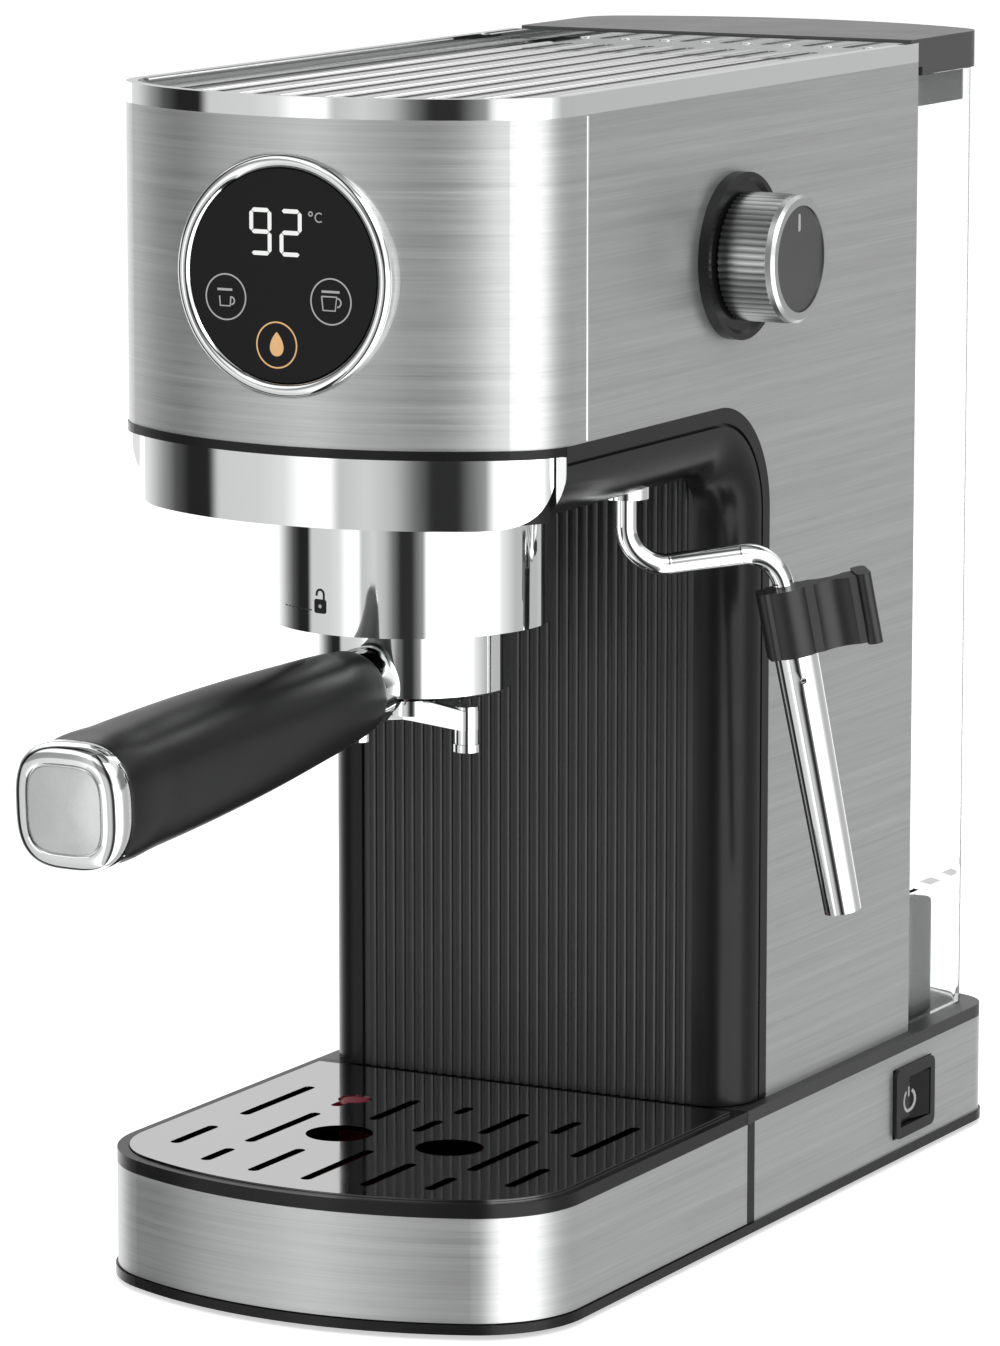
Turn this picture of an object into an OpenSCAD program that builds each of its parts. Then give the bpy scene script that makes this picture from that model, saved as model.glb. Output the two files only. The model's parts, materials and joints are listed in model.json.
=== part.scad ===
// Compact pump espresso machine: base with drip tray, column, head, brew group,
// portafilter, steam wand and rear water tank.
// Millimetres. X to the right, -Y towards the user, Z up from the counter.
// The origin is on the counter, below the middle of the base.

/* [Base] */
// Width of the base
base_w = 130; // [128:0.5:134]
// Foremost point of the base trim, measured forwards from the origin
base_front = 149.2; // [148:0.2:152]
// Rearmost point of the base
base_rear = 151.4; // [150:0.2:154]
// Height of the deck and of the drip tray's rim
deck_z = 34.5; // [33.5:0.5:36]
// Height of the rubber feet below the bottom trim
foot_h = 1.5; // [1:0.5:2]
// Thickness of the black bottom trim
trim_h = 2.5; // [2:0.5:3]
// Place of the seam between the drip tray and the rear base
seam_y = -16.6; // [-16.8:0.1:-16.4]

/* [Column and head] */
// Width of the column and of the head
body_w = 124; // [122:0.5:126]
// Front face of the column
column_front = -19; // [-19.5:0.5:-18.5]
// Rear face of the column
column_rear = 89.5; // [88:0.5:90]
// Foremost point of the head
head_front = 144.5; // [143:0.5:146]
// Underside of the steel head
head_z = 221.1; // [220:0.1:223]
// Top of the steel head, below the cup plate
head_top = 301.5; // [300:0.5:303]
// Height of the cup plate's chrome edge
cup_edge_h = 5.1; // [4.5:0.1:6]
// Thickness of the steel sheets
sheet_t = 0.9; // [0.8:0.1:1.2]
// Seam between the front sheet and the side sheets
wrap_seam_y = -102.6; // [-104:0.2:-101]
// Outer radius of the arch between column and head
arch_r = 29.5; // [28:0.5:30]

/* [Controls] */
// Outer diameter of the display's chrome ring
display_d = 60; // [56:1:62]
// Height of the display's centre
display_z = 262.8; // [260:0.2:265]
// Diameter of the steam knob
knob_d = 33; // [30:0.5:36]
// Place of the knob's axis along Y
knob_y = -21; // [-24:0.5:-18]
// Height of the knob's axis
knob_z = 259.5; // [255:0.5:262]
// Place of the power switch along Y
switch_y = 86; // [80:0.5:90]
// Height of the power switch
switch_z = 17; // [16:0.5:18]

/* [Brew group] */
// Place of the brew group's axis along Y
group_y = -80; // [-81:0.5:-79]
// Outer diameter of the chrome collar
collar_d = 72; // [72:0.5:73]
// Lower edge of the collar
collar_z = 169.8; // [169:0.2:171]
// Diameter of the filter holder's cup
cup_d = 50.9; // [50:0.1:52]
// Underside of the filter holder's cup
cup_z = 152; // [151.5:0.5:152.5]
// Distance of each spout outlet from the axis
spout_x = 15.9; // [15:0.1:17]
// Lower end of the spout outlets
spout_z = 136.3; // [135:0.1:138]
// Tip of the handle, measured forwards from the group's axis
handle_tip = 167.5; // [160:0.5:170]
// Downward tilt of the handle
handle_tilt = 3; // [2:0.5:4]

/* [Steam wand] */
// Distance of the wand's swivel axis from the right side of the body
wand_side = 12; // [11:0.5:13]
// Place of the wand's swivel axis along Y
wand_y = -58.5; // [-60:0.5:-57]
// Direction of the wand seen from above, from +X towards +Y
wand_turn = 35; // [30:1:38]
// Outer diameter of the wand's tube
wand_d = 5.5; // [5:0.5:6]
// Bore of the wand's tube
wand_bore = 3.5; // [3:0.5:4]
// Lower end of the froth sleeve
wand_tip_z = 93; // [88:0.5:98]

/* [Water tank] */
// Distance of the tank's side from the side of the body
tank_side = 3; // [2.5:0.5:4]
// Front wall of the tank
tank_front = 92.2; // [92:0.2:94]
// Rearmost point of the tank's lid
lid_rear = 152; // [150:0.5:154]
// Thickness of the tank's walls
tank_wall = 2.2; // [1.8:0.1:2.6]
// Floor of the tank
tank_floor_z = 71; // [70:0.5:74]
// Top of the lid
lid_z = 307.3; // [307:0.1:309]

/* [Clearances] */
// Gap between a sliding or lifting piece and its guide
slide_gap = 0.35; // [0.3:0.05:0.5]
// Radial gap of a turning shaft in its bearing
run_gap = 0.06; // [0.04:0.01:0.1]
// Gap between two fixed pieces that lie side by side
seat_gap = 0.1; // [0.05:0.05:0.2]

/* [Hidden] */
$fn = 96;
eps = 0.5;

// Colours
steel_tone = "#a9abaa";
chrome_tone = "#d8dadb";
black_tone = "#232425";
charcoal_tone = "#333435";
lid_tone = "#6a6b6c";
alu_tone = "#b9bcbe";
brass_tone = "#b8954a";
rubber_tone = "#1b1b1c";

// Bowed outlines: place of each corner arc's centre seen from the bow's centre, in whole-number
// right triangles
base_front_at = [36, 77];
base_rear_at = [53, 127.2];
head_at = [40.2, 53.6];
lid_at = [48, 90];

// Base: heights of the trim's underside, of its top and of the steel band's top
rim_h = 3.5;
pan_z = foot_h;
pan_top = pan_z + trim_h;
band_top = deck_z - rim_h;
base_side = 0.6;
tray_front = base_front - base_side;
shell_in = sheet_t + seat_gap;

// Arch between the column and the head
trim_depth = -column_front;
arch_inner = arch_r - trim_depth;
arch_y = -arch_r;
arch_z = head_z - arch_r;
under_z = arch_z + arch_inner;

// Body: side of the frame inside the steel, floor of the head's tub, top of the cup plate
frame_wall = 2.2;
frame_x = body_w / 2 - sheet_t;
bay_front = column_front + 2;
cover_t = 2.4;
cover_y = column_rear - cover_t;
tub_t = 2.5;
tub_floor = head_z + tub_t;
cup_top = head_top + cup_edge_h;
wand_x = body_w / 2 - wand_side;

// Tank, dock and the water inlet between them
tank_w = body_w - 2 * tank_side;
tank_top = lid_z - 10.1;
dock_top = tank_floor_z - 3.5;
spigot_y = tank_front + 22.8;

// ---------------------------------------------------------------- outlines

// Crown of a bowed end, opening towards +Y: the crown is at y = inset. The vector at runs from
// the bow's centre to the corner arc's centre, and the two arcs meet smoothly on its line
module bow_end(w, at, inset = 0) {
    corner = w / 2 - at[0];
    bow = corner + norm(at);
    cy = bow_depth(w, at);
    far = [2 * at[0], bow - 2 * at[1]];
    intersection() {
        translate([0, bow]) circle(bow - inset, $fn = 240);
        polygon([[-at[0], cy], [-far[0], far[1]], far, [at[0], cy]]);
    }
    for (s = [0, 1]) mirror([s, 0]) intersection() {
        translate([at[0], cy]) circle(corner - inset);
        polygon([[at[0], cy], far, [w, far[1]], [w, cy]]);
    }
}

// Distance from the crown to where the sides run straight
function bow_depth(w, at) = w / 2 - at[0] + norm(at) - at[1];

// Rectangle bowed at the front, and at the rear too if rear_at is given
module bowed_plan(w, front, rear, front_at, rear_at = [0, 0], inset = 0) {
    flat_rear = norm(rear_at) == 0;
    y0 = -front + bow_depth(w, front_at);
    y1 = flat_rear ? rear - inset : rear - bow_depth(w, rear_at);
    translate([0, -front]) bow_end(w, front_at, inset);
    translate([inset - w / 2, y0]) square([w - 2 * inset, y1 - y0]);
    if (!flat_rear) translate([0, rear]) mirror([0, 1]) bow_end(w, rear_at, inset);
}

module base_plan(inset = 0) {
    bowed_plan(base_w, tray_front, base_rear - base_side, base_front_at, base_rear_at, inset);
}

module head_plan(inset = 0) {
    bowed_plan(body_w, head_front, column_rear, head_at, inset = inset);
}

// Everything in front of, or behind, a line across the machine
module front_of(y, size = 400) { translate([-size / 2, y - size]) square(size); }
module behind(y, size = 400) { translate([-size / 2, y]) square(size); }

module slab(z0, z1) { translate([0, 0, z0]) linear_extrude(z1 - z0) children(); }

module rounded(w, h, r) {
    square([w - 2 * r, h], center = true);
    square([w, h - 2 * r], center = true);
    for (x = [-1, 1], y = [-1, 1]) translate([x * (w / 2 - r), y * (h / 2 - r)]) circle(r);
}

module stadium(len, w) {
    square([w, len - w], center = true);
    for (s = [-1, 1]) translate([0, s * (len - w) / 2]) circle(w / 2);
}

module ring(r_out, r_in, h) {
    difference() {
        cylinder(r = r_out, h = h);
        translate([0, 0, -eps]) cylinder(r = r_in, h = h + 2 * eps);
    }
}

// Cylinder along +X, from x0 to x1
module rod_x(x0, x1, r) { translate([x0, 0, 0]) rotate([0, 90, 0]) cylinder(r = r, h = x1 - x0); }
// Cylinder along +Y, from y0 to y1
module rod_y(y0, y1, r) { translate([0, y0, 0]) rotate([-90, 0, 0]) cylinder(r = r, h = y1 - y0); }

// ---------------------------------------------------------------- bent tubes

// Straight legs stop this short of the bends, and a ball a little larger joins them
joint_gap = 0.05;

// Points are [s, z] pairs in an upright plane; bend is the bend radius
function turn_of(a, b) = atan2(a[0] * b[1] - a[1] * b[0], a * b);
function unit(v) = v / norm(v);

module tube_leg(a, b, r) {
    d = b - a;
    translate([a[0], 0, a[1]]) rotate([0, atan2(d[0], d[1]), 0]) cylinder(r = r, h = norm(d));
}

module tube_bend(p, u, v, bend, r) {
    half = abs(turn_of(u, v)) / 2;
    c = p + unit(v - u) * bend / cos(half);
    a = p - u * bend * tan(half) - c;
    b = p + v * bend * tan(half) - c;
    from = atan2(a[1], a[0]);
    sweep = turn_of(a, b);
    start = sweep > 0 ? from : from + sweep;
    translate([c[0], 0, c[1]]) rotate([90, 0, 0]) rotate([0, 0, start])
        rotate_extrude(angle = abs(sweep)) translate([bend, 0]) circle(r, $fn = 32);
}

module bent_rod(pts, bend, r) {
    n = len(pts);
    cut = [for (i = [0:n - 1]) i == 0 || i == n - 1 ? 0 :
        bend * tan(abs(turn_of(unit(pts[i] - pts[i - 1]), unit(pts[i + 1] - pts[i]))) / 2)];
    for (i = [0:n - 2]) {
        d = unit(pts[i + 1] - pts[i]);
        a = pts[i] + d * (cut[i] + (i == 0 ? 0 : joint_gap));
        b = pts[i + 1] - d * (cut[i + 1] + (i == n - 2 ? 0 : joint_gap));
        tube_leg(a, b, r);
    }
    for (i = [1:n - 2]) {
        u = unit(pts[i] - pts[i - 1]);
        v = unit(pts[i + 1] - pts[i]);
        tube_bend(pts[i], u, v, bend, r);
        for (p = [pts[i] - u * cut[i], pts[i] + v * cut[i]])
            translate([p[0], 0, p[1]]) sphere(r + 0.03);
    }
}

// ---------------------------------------------------------------- base

base_wall = 2.2;
floor_t = 2;
seam_t = 4;
screw_x = base_w / 2 - 19;
screw_pts = [for (y = [6, base_rear - 23.4], x = [-screw_x, screw_x]) [x, y]];
screw_r = 3;
foot_x = base_w / 2 - 21;
foot_pts = [for (y = [37.2 - base_front, base_rear - 33.4], x = [-foot_x, foot_x]) [x, y]];
foot_r = 8;
foot_stem_r = 2.5;
boss_r = 4;
boss_bore = 1.6;
rail_x = base_w / 2 - 35;
rail_w = 3;
rail_y = -110;
rail_h = 1.2;
switch_w = 25;
switch_h = 19.5;
switch_body_w = 21;
switch_body_h = 15.5;
switch_depth = 16;
gland_z = 17;
gland_x = 31 - base_w / 2;
gland_r = 6;
gland_bore = 3.5;

// Bottom trim, the sled below the drip tray and the walls of the rear base
module base_pan() color(black_tone) {
    difference() {
        union() {
            slab(pan_z, pan_top) base_plan(-base_side);
            slab(pan_top - eps, band_top) intersection() {
                difference() {
                    base_plan(shell_in);
                    base_plan(shell_in + base_wall);
                }
                behind(seam_y + seam_t);
            }
            // Black face behind the seam, flush with the steel
            slab(pan_top - eps, band_top) intersection() {
                base_plan();
                front_of(seam_y + seam_t);
                behind(seam_y);
            }
            for (p = screw_pts) translate([p[0], p[1], pan_top - eps])
                cylinder(r = boss_r, h = band_top - pan_top + eps);
            // Guide rails of the drip tray
            for (s = [-1, 1]) translate([s * rail_x - rail_w / 2, rail_y, pan_top - eps])
                cube([rail_w, seam_y - rail_y + eps, rail_h + eps]);
        }
        for (p = screw_pts) translate([p[0], p[1], pan_z - eps]) {
            cylinder(r = boss_bore, h = band_top);
            cylinder(r = screw_r + 0.2, h = trim_h - 0.5 + eps);
        }
        for (p = foot_pts) translate([p[0], p[1], 0]) cylinder(r = foot_stem_r, h = pan_top + eps);
        translate([0, switch_y, switch_z]) translate([base_w / 2 - 6, -switch_body_w / 2 - seat_gap,
            -switch_body_h / 2 - seat_gap])
            cube([8, switch_body_w + 2 * seat_gap, switch_body_h + 2 * seat_gap]);
        translate([gland_x, 0, gland_z]) rod_y(base_rear - 14, base_rear, gland_r + seat_gap);
        // Vent slots below the pump
        for (i = [-3:3]) translate([i * 7, 46, pan_z - eps]) slab(0, trim_h + 2 * eps)
            stadium(36, 3);
    }
}

// Four feet, each pressed into the bottom trim
module rubber_feet() color(rubber_tone) for (p = foot_pts) translate([p[0], p[1], 0]) {
    cylinder(r1 = foot_r - 0.6, r2 = foot_r, h = foot_h);
    translate([0, 0, foot_h - eps]) cylinder(r = foot_stem_r, h = trim_h + eps);
}

// Steel sheet round the rear base
module base_band() color(steel_tone) difference() {
    slab(pan_top, band_top) intersection() {
        difference() {
            base_plan();
            base_plan(sheet_t);
        }
        behind(seam_y + seam_t);
    }
    translate([base_w / 2 - 3, switch_y - switch_w / 2 - seat_gap, switch_z - switch_h / 2 - seat_gap])
        cube([6, switch_w + 2 * seat_gap, switch_h + 2 * seat_gap]);
    translate([gland_x, 0, gland_z]) rod_y(base_rear - 8, base_rear + 2, gland_r + seat_gap);
}

// Deck of the rear base, with the recess that the tank's skirt stands in
module base_deck() color(charcoal_tone) difference() {
    slab(band_top, deck_z) intersection() {
        base_plan();
        behind(seam_y);
    }
    // Opening up into the column
    translate([0, (column_front + column_rear) / 2, band_top - eps])
        slab(0, deck_z) square([body_w - 40, column_rear - column_front - 42.5], center = true);
    for (p = screw_pts) translate([p[0], p[1], 0]) cylinder(r = boss_bore, h = deck_z - 1);
    translate([0, spigot_y, band_top - eps]) cylinder(r = spigot_r + 0.2, h = deck_z);
}

// Screws that hold the bottom trim to the deck
module base_screws() color(alu_tone) for (p = screw_pts) translate([p[0], p[1], pan_z]) {
    difference() {
        cylinder(r = screw_r, h = trim_h - 0.5);
        translate([0, 0, -eps]) cylinder(r = 1.4, h = 1.4 + eps, $fn = 6);
    }
    cylinder(r = boss_bore - 0.05, h = deck_z - 2 - pan_z);
}

// Bushing in the rear of the base for the mains lead
module cord_gland() color(black_tone) translate([gland_x, 0, gland_z]) difference() {
    union() {
        rod_y(base_rear - 12, base_rear - 1.2, gland_r);
        rod_y(base_rear - 1.9, base_rear - 0.2, gland_r + 2);
    }
    rod_y(base_rear - 14, base_rear + 2, gland_bore);
}

spigot_low = band_top - 4;
spigot_r = 5;
dock_h = dock_top - deck_z;
dock_w = tank_w - 10;
dock_front = tank_front + 3.8;
dock_rear = lid_rear - 25;
dock_round = 14;
dock_wall = 2.5;

// Raised dock that the tank's hollow foot stands over
module tank_dock() color("#5c5d5e") difference() {
    translate([0, 0, deck_z]) {
        intersection() {
            linear_extrude(dock_h) translate([0, (dock_front + dock_rear) / 2])
                rounded(dock_w, dock_rear - dock_front, 9);
            // Rear top edge rounded to a quarter circle
            union() {
                translate([-dock_w / 2, dock_front, 0]) {
                    cube([dock_w, dock_rear - dock_front, dock_h - dock_round]);
                    cube([dock_w, dock_rear - dock_front - dock_round, dock_h]);
                }
                translate([0, dock_rear - dock_round, dock_h - dock_round])
                    rod_x(-dock_w / 2, dock_w / 2, dock_round);
            }
        }
    }
    translate([0, (dock_front + dock_rear) / 2, deck_z - eps]) slab(0, dock_h - dock_round)
        rounded(dock_w - 2 * dock_wall, dock_rear - dock_front - 2 * dock_wall, 7);
    translate([0, spigot_y, deck_z]) cylinder(r = spigot_r, h = dock_h + eps);
}

// Water inlet in the dock, with the pin that opens the tank's valve
module dock_spigot() color("#8f9294") translate([0, spigot_y, 0]) difference() {
    union() {
        translate([0, 0, spigot_low]) cylinder(r = 3.5, h = dock_top - spigot_low);
        translate([0, 0, dock_top - dock_round]) cylinder(r = spigot_r, h = dock_round);
        translate([0, 0, dock_top]) cylinder(r = spigot_r + 3, h = 1.5);
    }
    translate([0, 0, spigot_low - eps]) cylinder(r = 1.8, h = dock_top);
}

// Black frame of the power switch with its body
module switch_bezel() color(black_tone) translate([base_w / 2, switch_y, switch_z]) difference() {
    union() {
        rotate([0, 90, 0]) slab(-sheet_t, bezel_h) rounded(switch_h, switch_w, 2.5);
        translate([-switch_depth, -switch_body_w / 2, -switch_body_h / 2])
            cube([switch_depth, switch_body_w, switch_body_h]);
    }
    translate([-9, -rocker_w / 2 - slide_gap, -rocker_h / 2 - slide_gap])
        cube([12, rocker_w + 2 * slide_gap, rocker_h + 2 * slide_gap]);
    translate([-pin_in, 0, -rocker_h / 2 - 1.5])
        cylinder(r = rocker_pin_r + run_gap, h = rocker_h + 3);
}

bezel_h = 1.2;
rocker_w = 18.6;
rocker_h = 12.6;
rocker_pin_r = 1;
rocker_tilt = 6;
rocker_face = 3.9;
pin_in = 3.5;

// Rocker of the power switch, on its upright pin, pressed in at its front end
module power_rocker() color(black_tone) translate([base_w / 2 - pin_in, switch_y, switch_z])
    rotate([0, 0, -rocker_tilt]) {
        slab(-rocker_h / 2, rocker_h / 2) polygon([
            [-3.5, -5], [-1, 0.3 - rocker_w / 2], [rocker_face, 0.3 - rocker_w / 2],
            [rocker_face - 1, 0], [rocker_face, rocker_w / 2 - 0.3], [-1, rocker_w / 2 - 0.3],
            [-3.5, 5]
        ]);
        slab(-rocker_h / 2 - 1.2, rocker_h / 2 + 1.2) circle(rocker_pin_r);
    }

// ---------------------------------------------------------------- drip tray

plate_t = 1.2;
plate_top = deck_z + 0.5;
plate_inset = 3.2;
plate_rear = -21;
tray_z = pan_top + 0.05;
tray_floor = tray_z + 3.5;
tray_wall = 2;
tray_ledge = 2.5;
skid_x = base_w / 2 - 20;
skid_len = 96;
rib_x = base_w / 2 - 10.5;
slot_pitch = 16.2;
slot_w = 3;
cup_hole_d = 17.5;
float_x = -31.5;
float_y = -55;
float_d = 8.2;
float_r = 9;
float_h = 9;

module tray_plan(inset = 0) {
    intersection() {
        base_plan(inset);
        front_of(seam_y - 0.3 - (inset > 0 ? max(0, inset - sheet_t) : 0));
    }
}

// Black bin of the drip tray with its rim
module drip_tray() color(black_tone) difference() {
    union() {
        slab(band_top, deck_z) tray_plan();
        slab(tray_floor - floor_t, band_top + eps) tray_plan(shell_in);
        // Skids that run on the bottom trim
        for (s = [-1, 1]) translate([s * skid_x, -78, tray_z]) slab(0, 3) stadium(skid_len, 4);
    }
    slab(tray_floor, deck_z + eps) tray_plan(shell_in + tray_wall + tray_ledge);
    slab(plate_top - plate_t - 0.1, deck_z + eps) plate_plan(-seat_gap - 0.2);
}

// Steel sheet round the drip tray
module tray_band() color(steel_tone) difference() {
    slab(pan_top + 0.3, band_top) tray_plan();
    slab(pan_top, band_top + eps) base_plan(sheet_t);
}

module plate_plan(inset = 0) intersection() {
    base_plan(plate_inset + inset);
    front_of(plate_rear - inset);
}

// Slots of the drip plate as [row, from, to], in rows either side of the middle
plate_slots = [
    [0, -136.5, -102], [0, -79, -65.5], [0, -57, -49],
    [1, -135, -109], [1, -73, -48.5],
    [2, -131, -117], [2, -109, -73], [2, -64.5, -50],
    [3, -119, -98], [3, -84, -48]
];

// Polished drip plate with its slots and two round holes
module drip_plate() color(chrome_tone) {
    difference() {
        slab(plate_top - plate_t, plate_top) plate_plan();
        slab(plate_top - 2 * plate_t, plate_top + eps) {
            for (p = plate_slots, s = p[0] == 0 ? [1] : [-1, 1])
                translate([s * p[0] * slot_pitch, (p[1] + p[2]) / 2]) stadium(p[2] - p[1], slot_w);
            for (s = [-1, 1]) translate([s * slot_pitch, -90]) circle(cup_hole_d / 2);
            translate([float_x, float_y]) circle(float_d / 2 + slide_gap);
        }
    }
    // Turned-down ribs that stiffen the plate
    for (s = [-1, 1]) translate([s * rib_x - 0.5, -118, plate_top - 4])
        cube([1, 76, 4 - plate_t + 0.1]);
}

// Red float that rises through the plate when the tray is full
module float_indicator() color("#8e1f33") translate([float_x, float_y, 0]) {
    translate([0, 0, tray_floor + 0.05]) cylinder(r = float_r, h = float_h);
    translate([0, 0, tray_floor + float_h - 1])
        cylinder(r = float_d / 2, h = plate_top - tray_floor - float_h + 0.4);
    translate([0, 0, plate_top - 0.9]) cylinder(r1 = float_d / 2, r2 = float_d / 2 - 0.8, h = 0.8);
}

// ---------------------------------------------------------------- column and head

trim_round = 12.5;
trim_x = body_w / 2 - trim_round;

// Column and head seen from the side, as [y, z]; the arch stays outside
module side_region() difference() {
    union() {
        translate([0, deck_z]) square([column_rear, head_top - deck_z]);
        translate([wrap_seam_y, head_z]) square([column_rear - wrap_seam_y, head_top - head_z]);
        translate([arch_y, arch_z]) square([arch_r + eps, arch_r + eps]);
    }
    translate([arch_y, arch_z]) circle(arch_r);
}

// Plate cut from the side view, between x0 and x1
module side_plate(x0, x1) {
    translate([x0, 0, 0]) rotate([90, 0, 90]) linear_extrude(x1 - x0) children();
}

module side_sheet(side) {
    difference() {
        if (side > 0) side_plate(frame_x, body_w / 2) side_region();
        else side_plate(-body_w / 2, -frame_x) side_region();
        if (side > 0) translate([0, knob_y, knob_z]) rod_x(frame_x - eps, body_w, knob_boss_r + 3.1);
    }
}

// Steel sheets on both sides of column and head
module side_sheet_left() color(steel_tone) side_sheet(-1);
module side_sheet_right() color(steel_tone) side_sheet(1);

// Steel sheet bent round the front of the head
module head_wrap() color(steel_tone) difference() {
    slab(head_z, head_top) intersection() {
        head_plan();
        front_of(wrap_seam_y - 0.15);
    }
    slab(head_z - eps, head_top + eps) head_plan(sheet_t);
    display_hole();
}

// Round hole in the front of the head for the display
module display_hole() {
    translate([0, 0, display_z]) rod_y(-head_front - 5, -head_front + 34, display_d / 2 + seat_gap);
}

// Plan of the column's inner box: narrow at the front, between the corner trims
module column_plan(inset = 0) {
    x0 = trim_x - inset;
    x1 = frame_x - inset;
    y0 = bay_front + inset;
    y1 = cover_y - inset;
    polygon([[-x0, y0], [x0, y0], [x0, inset], [x1, inset], [x1, y1], [-x1, y1],
             [-x1, inset], [-x0, inset]]);
}

module tub_plan(inset = 0) intersection() {
    head_plan(sheet_t + inset);
    front_of(cover_y - inset);
}

module square_plan(x, y0, y1) { translate([-x, y0]) square([2 * x, y1 - y0]); }

pump_y = 35;
pump_shelf_z = 72;
shelf_t = 2.5;
pump_pipe_r = 9;
mount_r = 13.9;
neck_r = 32.8;
socket_r = 6;
knob_boss_r = 8.9;
solenoid_x = body_w / 2 - 24;
solenoid_y = column_rear - 27.5;
solenoid_stub_r = 3.9;

// Black plastic frame inside: column box, pump shelf, head tub and their walls
module main_frame() color(black_tone) difference() {
    union() {
        slab(deck_z, head_z + eps) difference() {
            column_plan();
            column_plan(frame_wall);
        }
        slab(head_z, head_top) difference() {
            tub_plan();
            tub_plan(frame_wall);
        }
        slab(head_z, tub_floor) tub_plan();
        slab(pump_shelf_z, pump_shelf_z + shelf_t) column_plan();
    }
    translate([0, 0, head_z - eps]) {
        translate([0, group_y, 0]) cylinder(r = neck_r + 0.2, h = tub_t + 2 * eps);
        translate([wand_x, wand_y, 0]) cylinder(r = socket_r + seat_gap, h = tub_t + 2 * eps);
        slab(0, tub_t + 2 * eps) translate([0, 46]) square([body_w - 54, 48], center = true);
    }
    translate([0, 0, pump_shelf_z - eps]) {
        translate([0, pump_y, 0]) cylinder(r = mount_r + seat_gap, h = shelf_t + 2 * eps);
        translate([solenoid_x, solenoid_y, 0])
            cylinder(r = solenoid_stub_r + seat_gap, h = shelf_t + 2 * eps);
    }
    display_hole();
    translate([0, knob_y, knob_z]) rod_x(frame_x - 6, body_w, knob_boss_r + seat_gap);
}

rib_pitch = 2.9;
rib_h = 1;
trim_end_y = -113.4;

// Ribbed panel on the front of the column
module column_panel() color(charcoal_tone) union() {
    x = trim_x - 0.2;
    slab(deck_z + 0.5, under_z) square_plan(x, column_front + rib_h, bay_front);
    n = floor((2 * x - 1) / rib_pitch);
    for (i = [0:n - 1]) translate([(i - (n - 1) / 2) * rib_pitch, column_front + rib_h, deck_z + 0.5])
        slab(0, under_z - deck_z - 0.5) intersection() {
            circle(rib_h * 0.95, $fn = 12);
            translate([-2, -2]) square([4, 2.2]);
        }
}

// Section of the black trim: [depth from the steel edge, height above the inside]
module trim_section() {
    rim = 4;
    groove = 0.9;
    step = 1.3;
    difference() {
        union() {
            square([trim_depth - trim_round, trim_round]);
            intersection() {
                translate([trim_depth - trim_round, 0]) circle(trim_round);
                square([trim_depth, trim_round]);
            }
        }
        // Groove between the flush rim and the round part
        translate([rim, trim_round - step]) square([groove, step + 1]);
        // Hollow inside
        translate([-1, -1]) square([trim_depth - trim_round + 1, trim_round - 1.5]);
        intersection() {
            translate([trim_depth - trim_round, 0]) circle(trim_round - 2.5);
            translate([-1, -1]) square([trim_depth, trim_round]);
        }
    }
}

// Corner trim swept up the column, round the arch and forward below the head
module arch_trim(side) {
    mirror([side > 0 ? 0 : 1, 0, 0]) {
        // Up the column: depth runs towards -Y, height towards +X
        translate([trim_x, 0, deck_z + 0.5]) rotate([0, 0, -90])
            linear_extrude(arch_z - deck_z - 0.5) trim_section();
        // Round the arch
        translate([trim_x, arch_y, arch_z]) rotate([0, 90, 0]) rotate([0, 0, 90])
            rotate_extrude(angle = 90) translate([arch_r, 0]) mirror([1, 0]) trim_section();
        // Forward: depth runs towards -Z
        translate([trim_x, arch_y, head_z]) rotate([90, 90, 0])
            linear_extrude(arch_y - trim_end_y) trim_section();
    }
}
module arch_trim_left() color(black_tone) arch_trim(-1);
module arch_trim_right() color(black_tone) difference() {
    arch_trim(1);
    wand_hole();
}
module wand_hole() { translate([wand_x, wand_y, under_z - 2]) cylinder(r = socket_r + seat_gap, h = 30); }

guide_x = 30;
guide_z = 110;
guide_h = 150;

// Plastic cover between the column and the water tank
module rear_cover() color(charcoal_tone) {
    slab(deck_z, head_top) square_plan(frame_x - seat_gap, cover_y, column_rear);
    // Guides that centre the tank
    for (s = [-1, 1]) translate([s * guide_x - 1.5, column_rear - eps, guide_z])
        cube([3, 2 + eps, guide_h]);
}

skirt_inset = 2.6;
skirt_t = 1.4;
skirt_z = 201;
flange_z = head_z - 2.3;
sweep_r = 16;
sweep_y = trim_end_y - 15.6;

// Black housing below the head: flange under the steel, core behind the skirt, plate between the trims
module head_housing() color(black_tone) difference() {
    union() {
        slab(flange_z, head_z) intersection() {
            head_plan(-0.3);
            front_of(trim_end_y - seat_gap);
        }
        slab(under_z, head_z) intersection() {
            head_plan(skirt_inset + skirt_t + seat_gap);
            front_of(trim_end_y - seat_gap);
        }
        slab(under_z, head_z) square_plan(trim_x - seat_gap, trim_end_y - eps, bay_front);
    }
    slab(under_z + 2.5, head_z + eps) intersection() {
        head_plan(skirt_inset + skirt_t + 3);
        front_of(trim_end_y - 4);
    }
    slab(under_z + 2.5, head_z + eps) square_plan(trim_x - 2.5, trim_end_y - 5, bay_front - 2.5);
    translate([0, group_y, under_z - 5]) cylinder(r = collar_d / 2 + seat_gap, h = 40);
    wand_hole();
}

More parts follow.
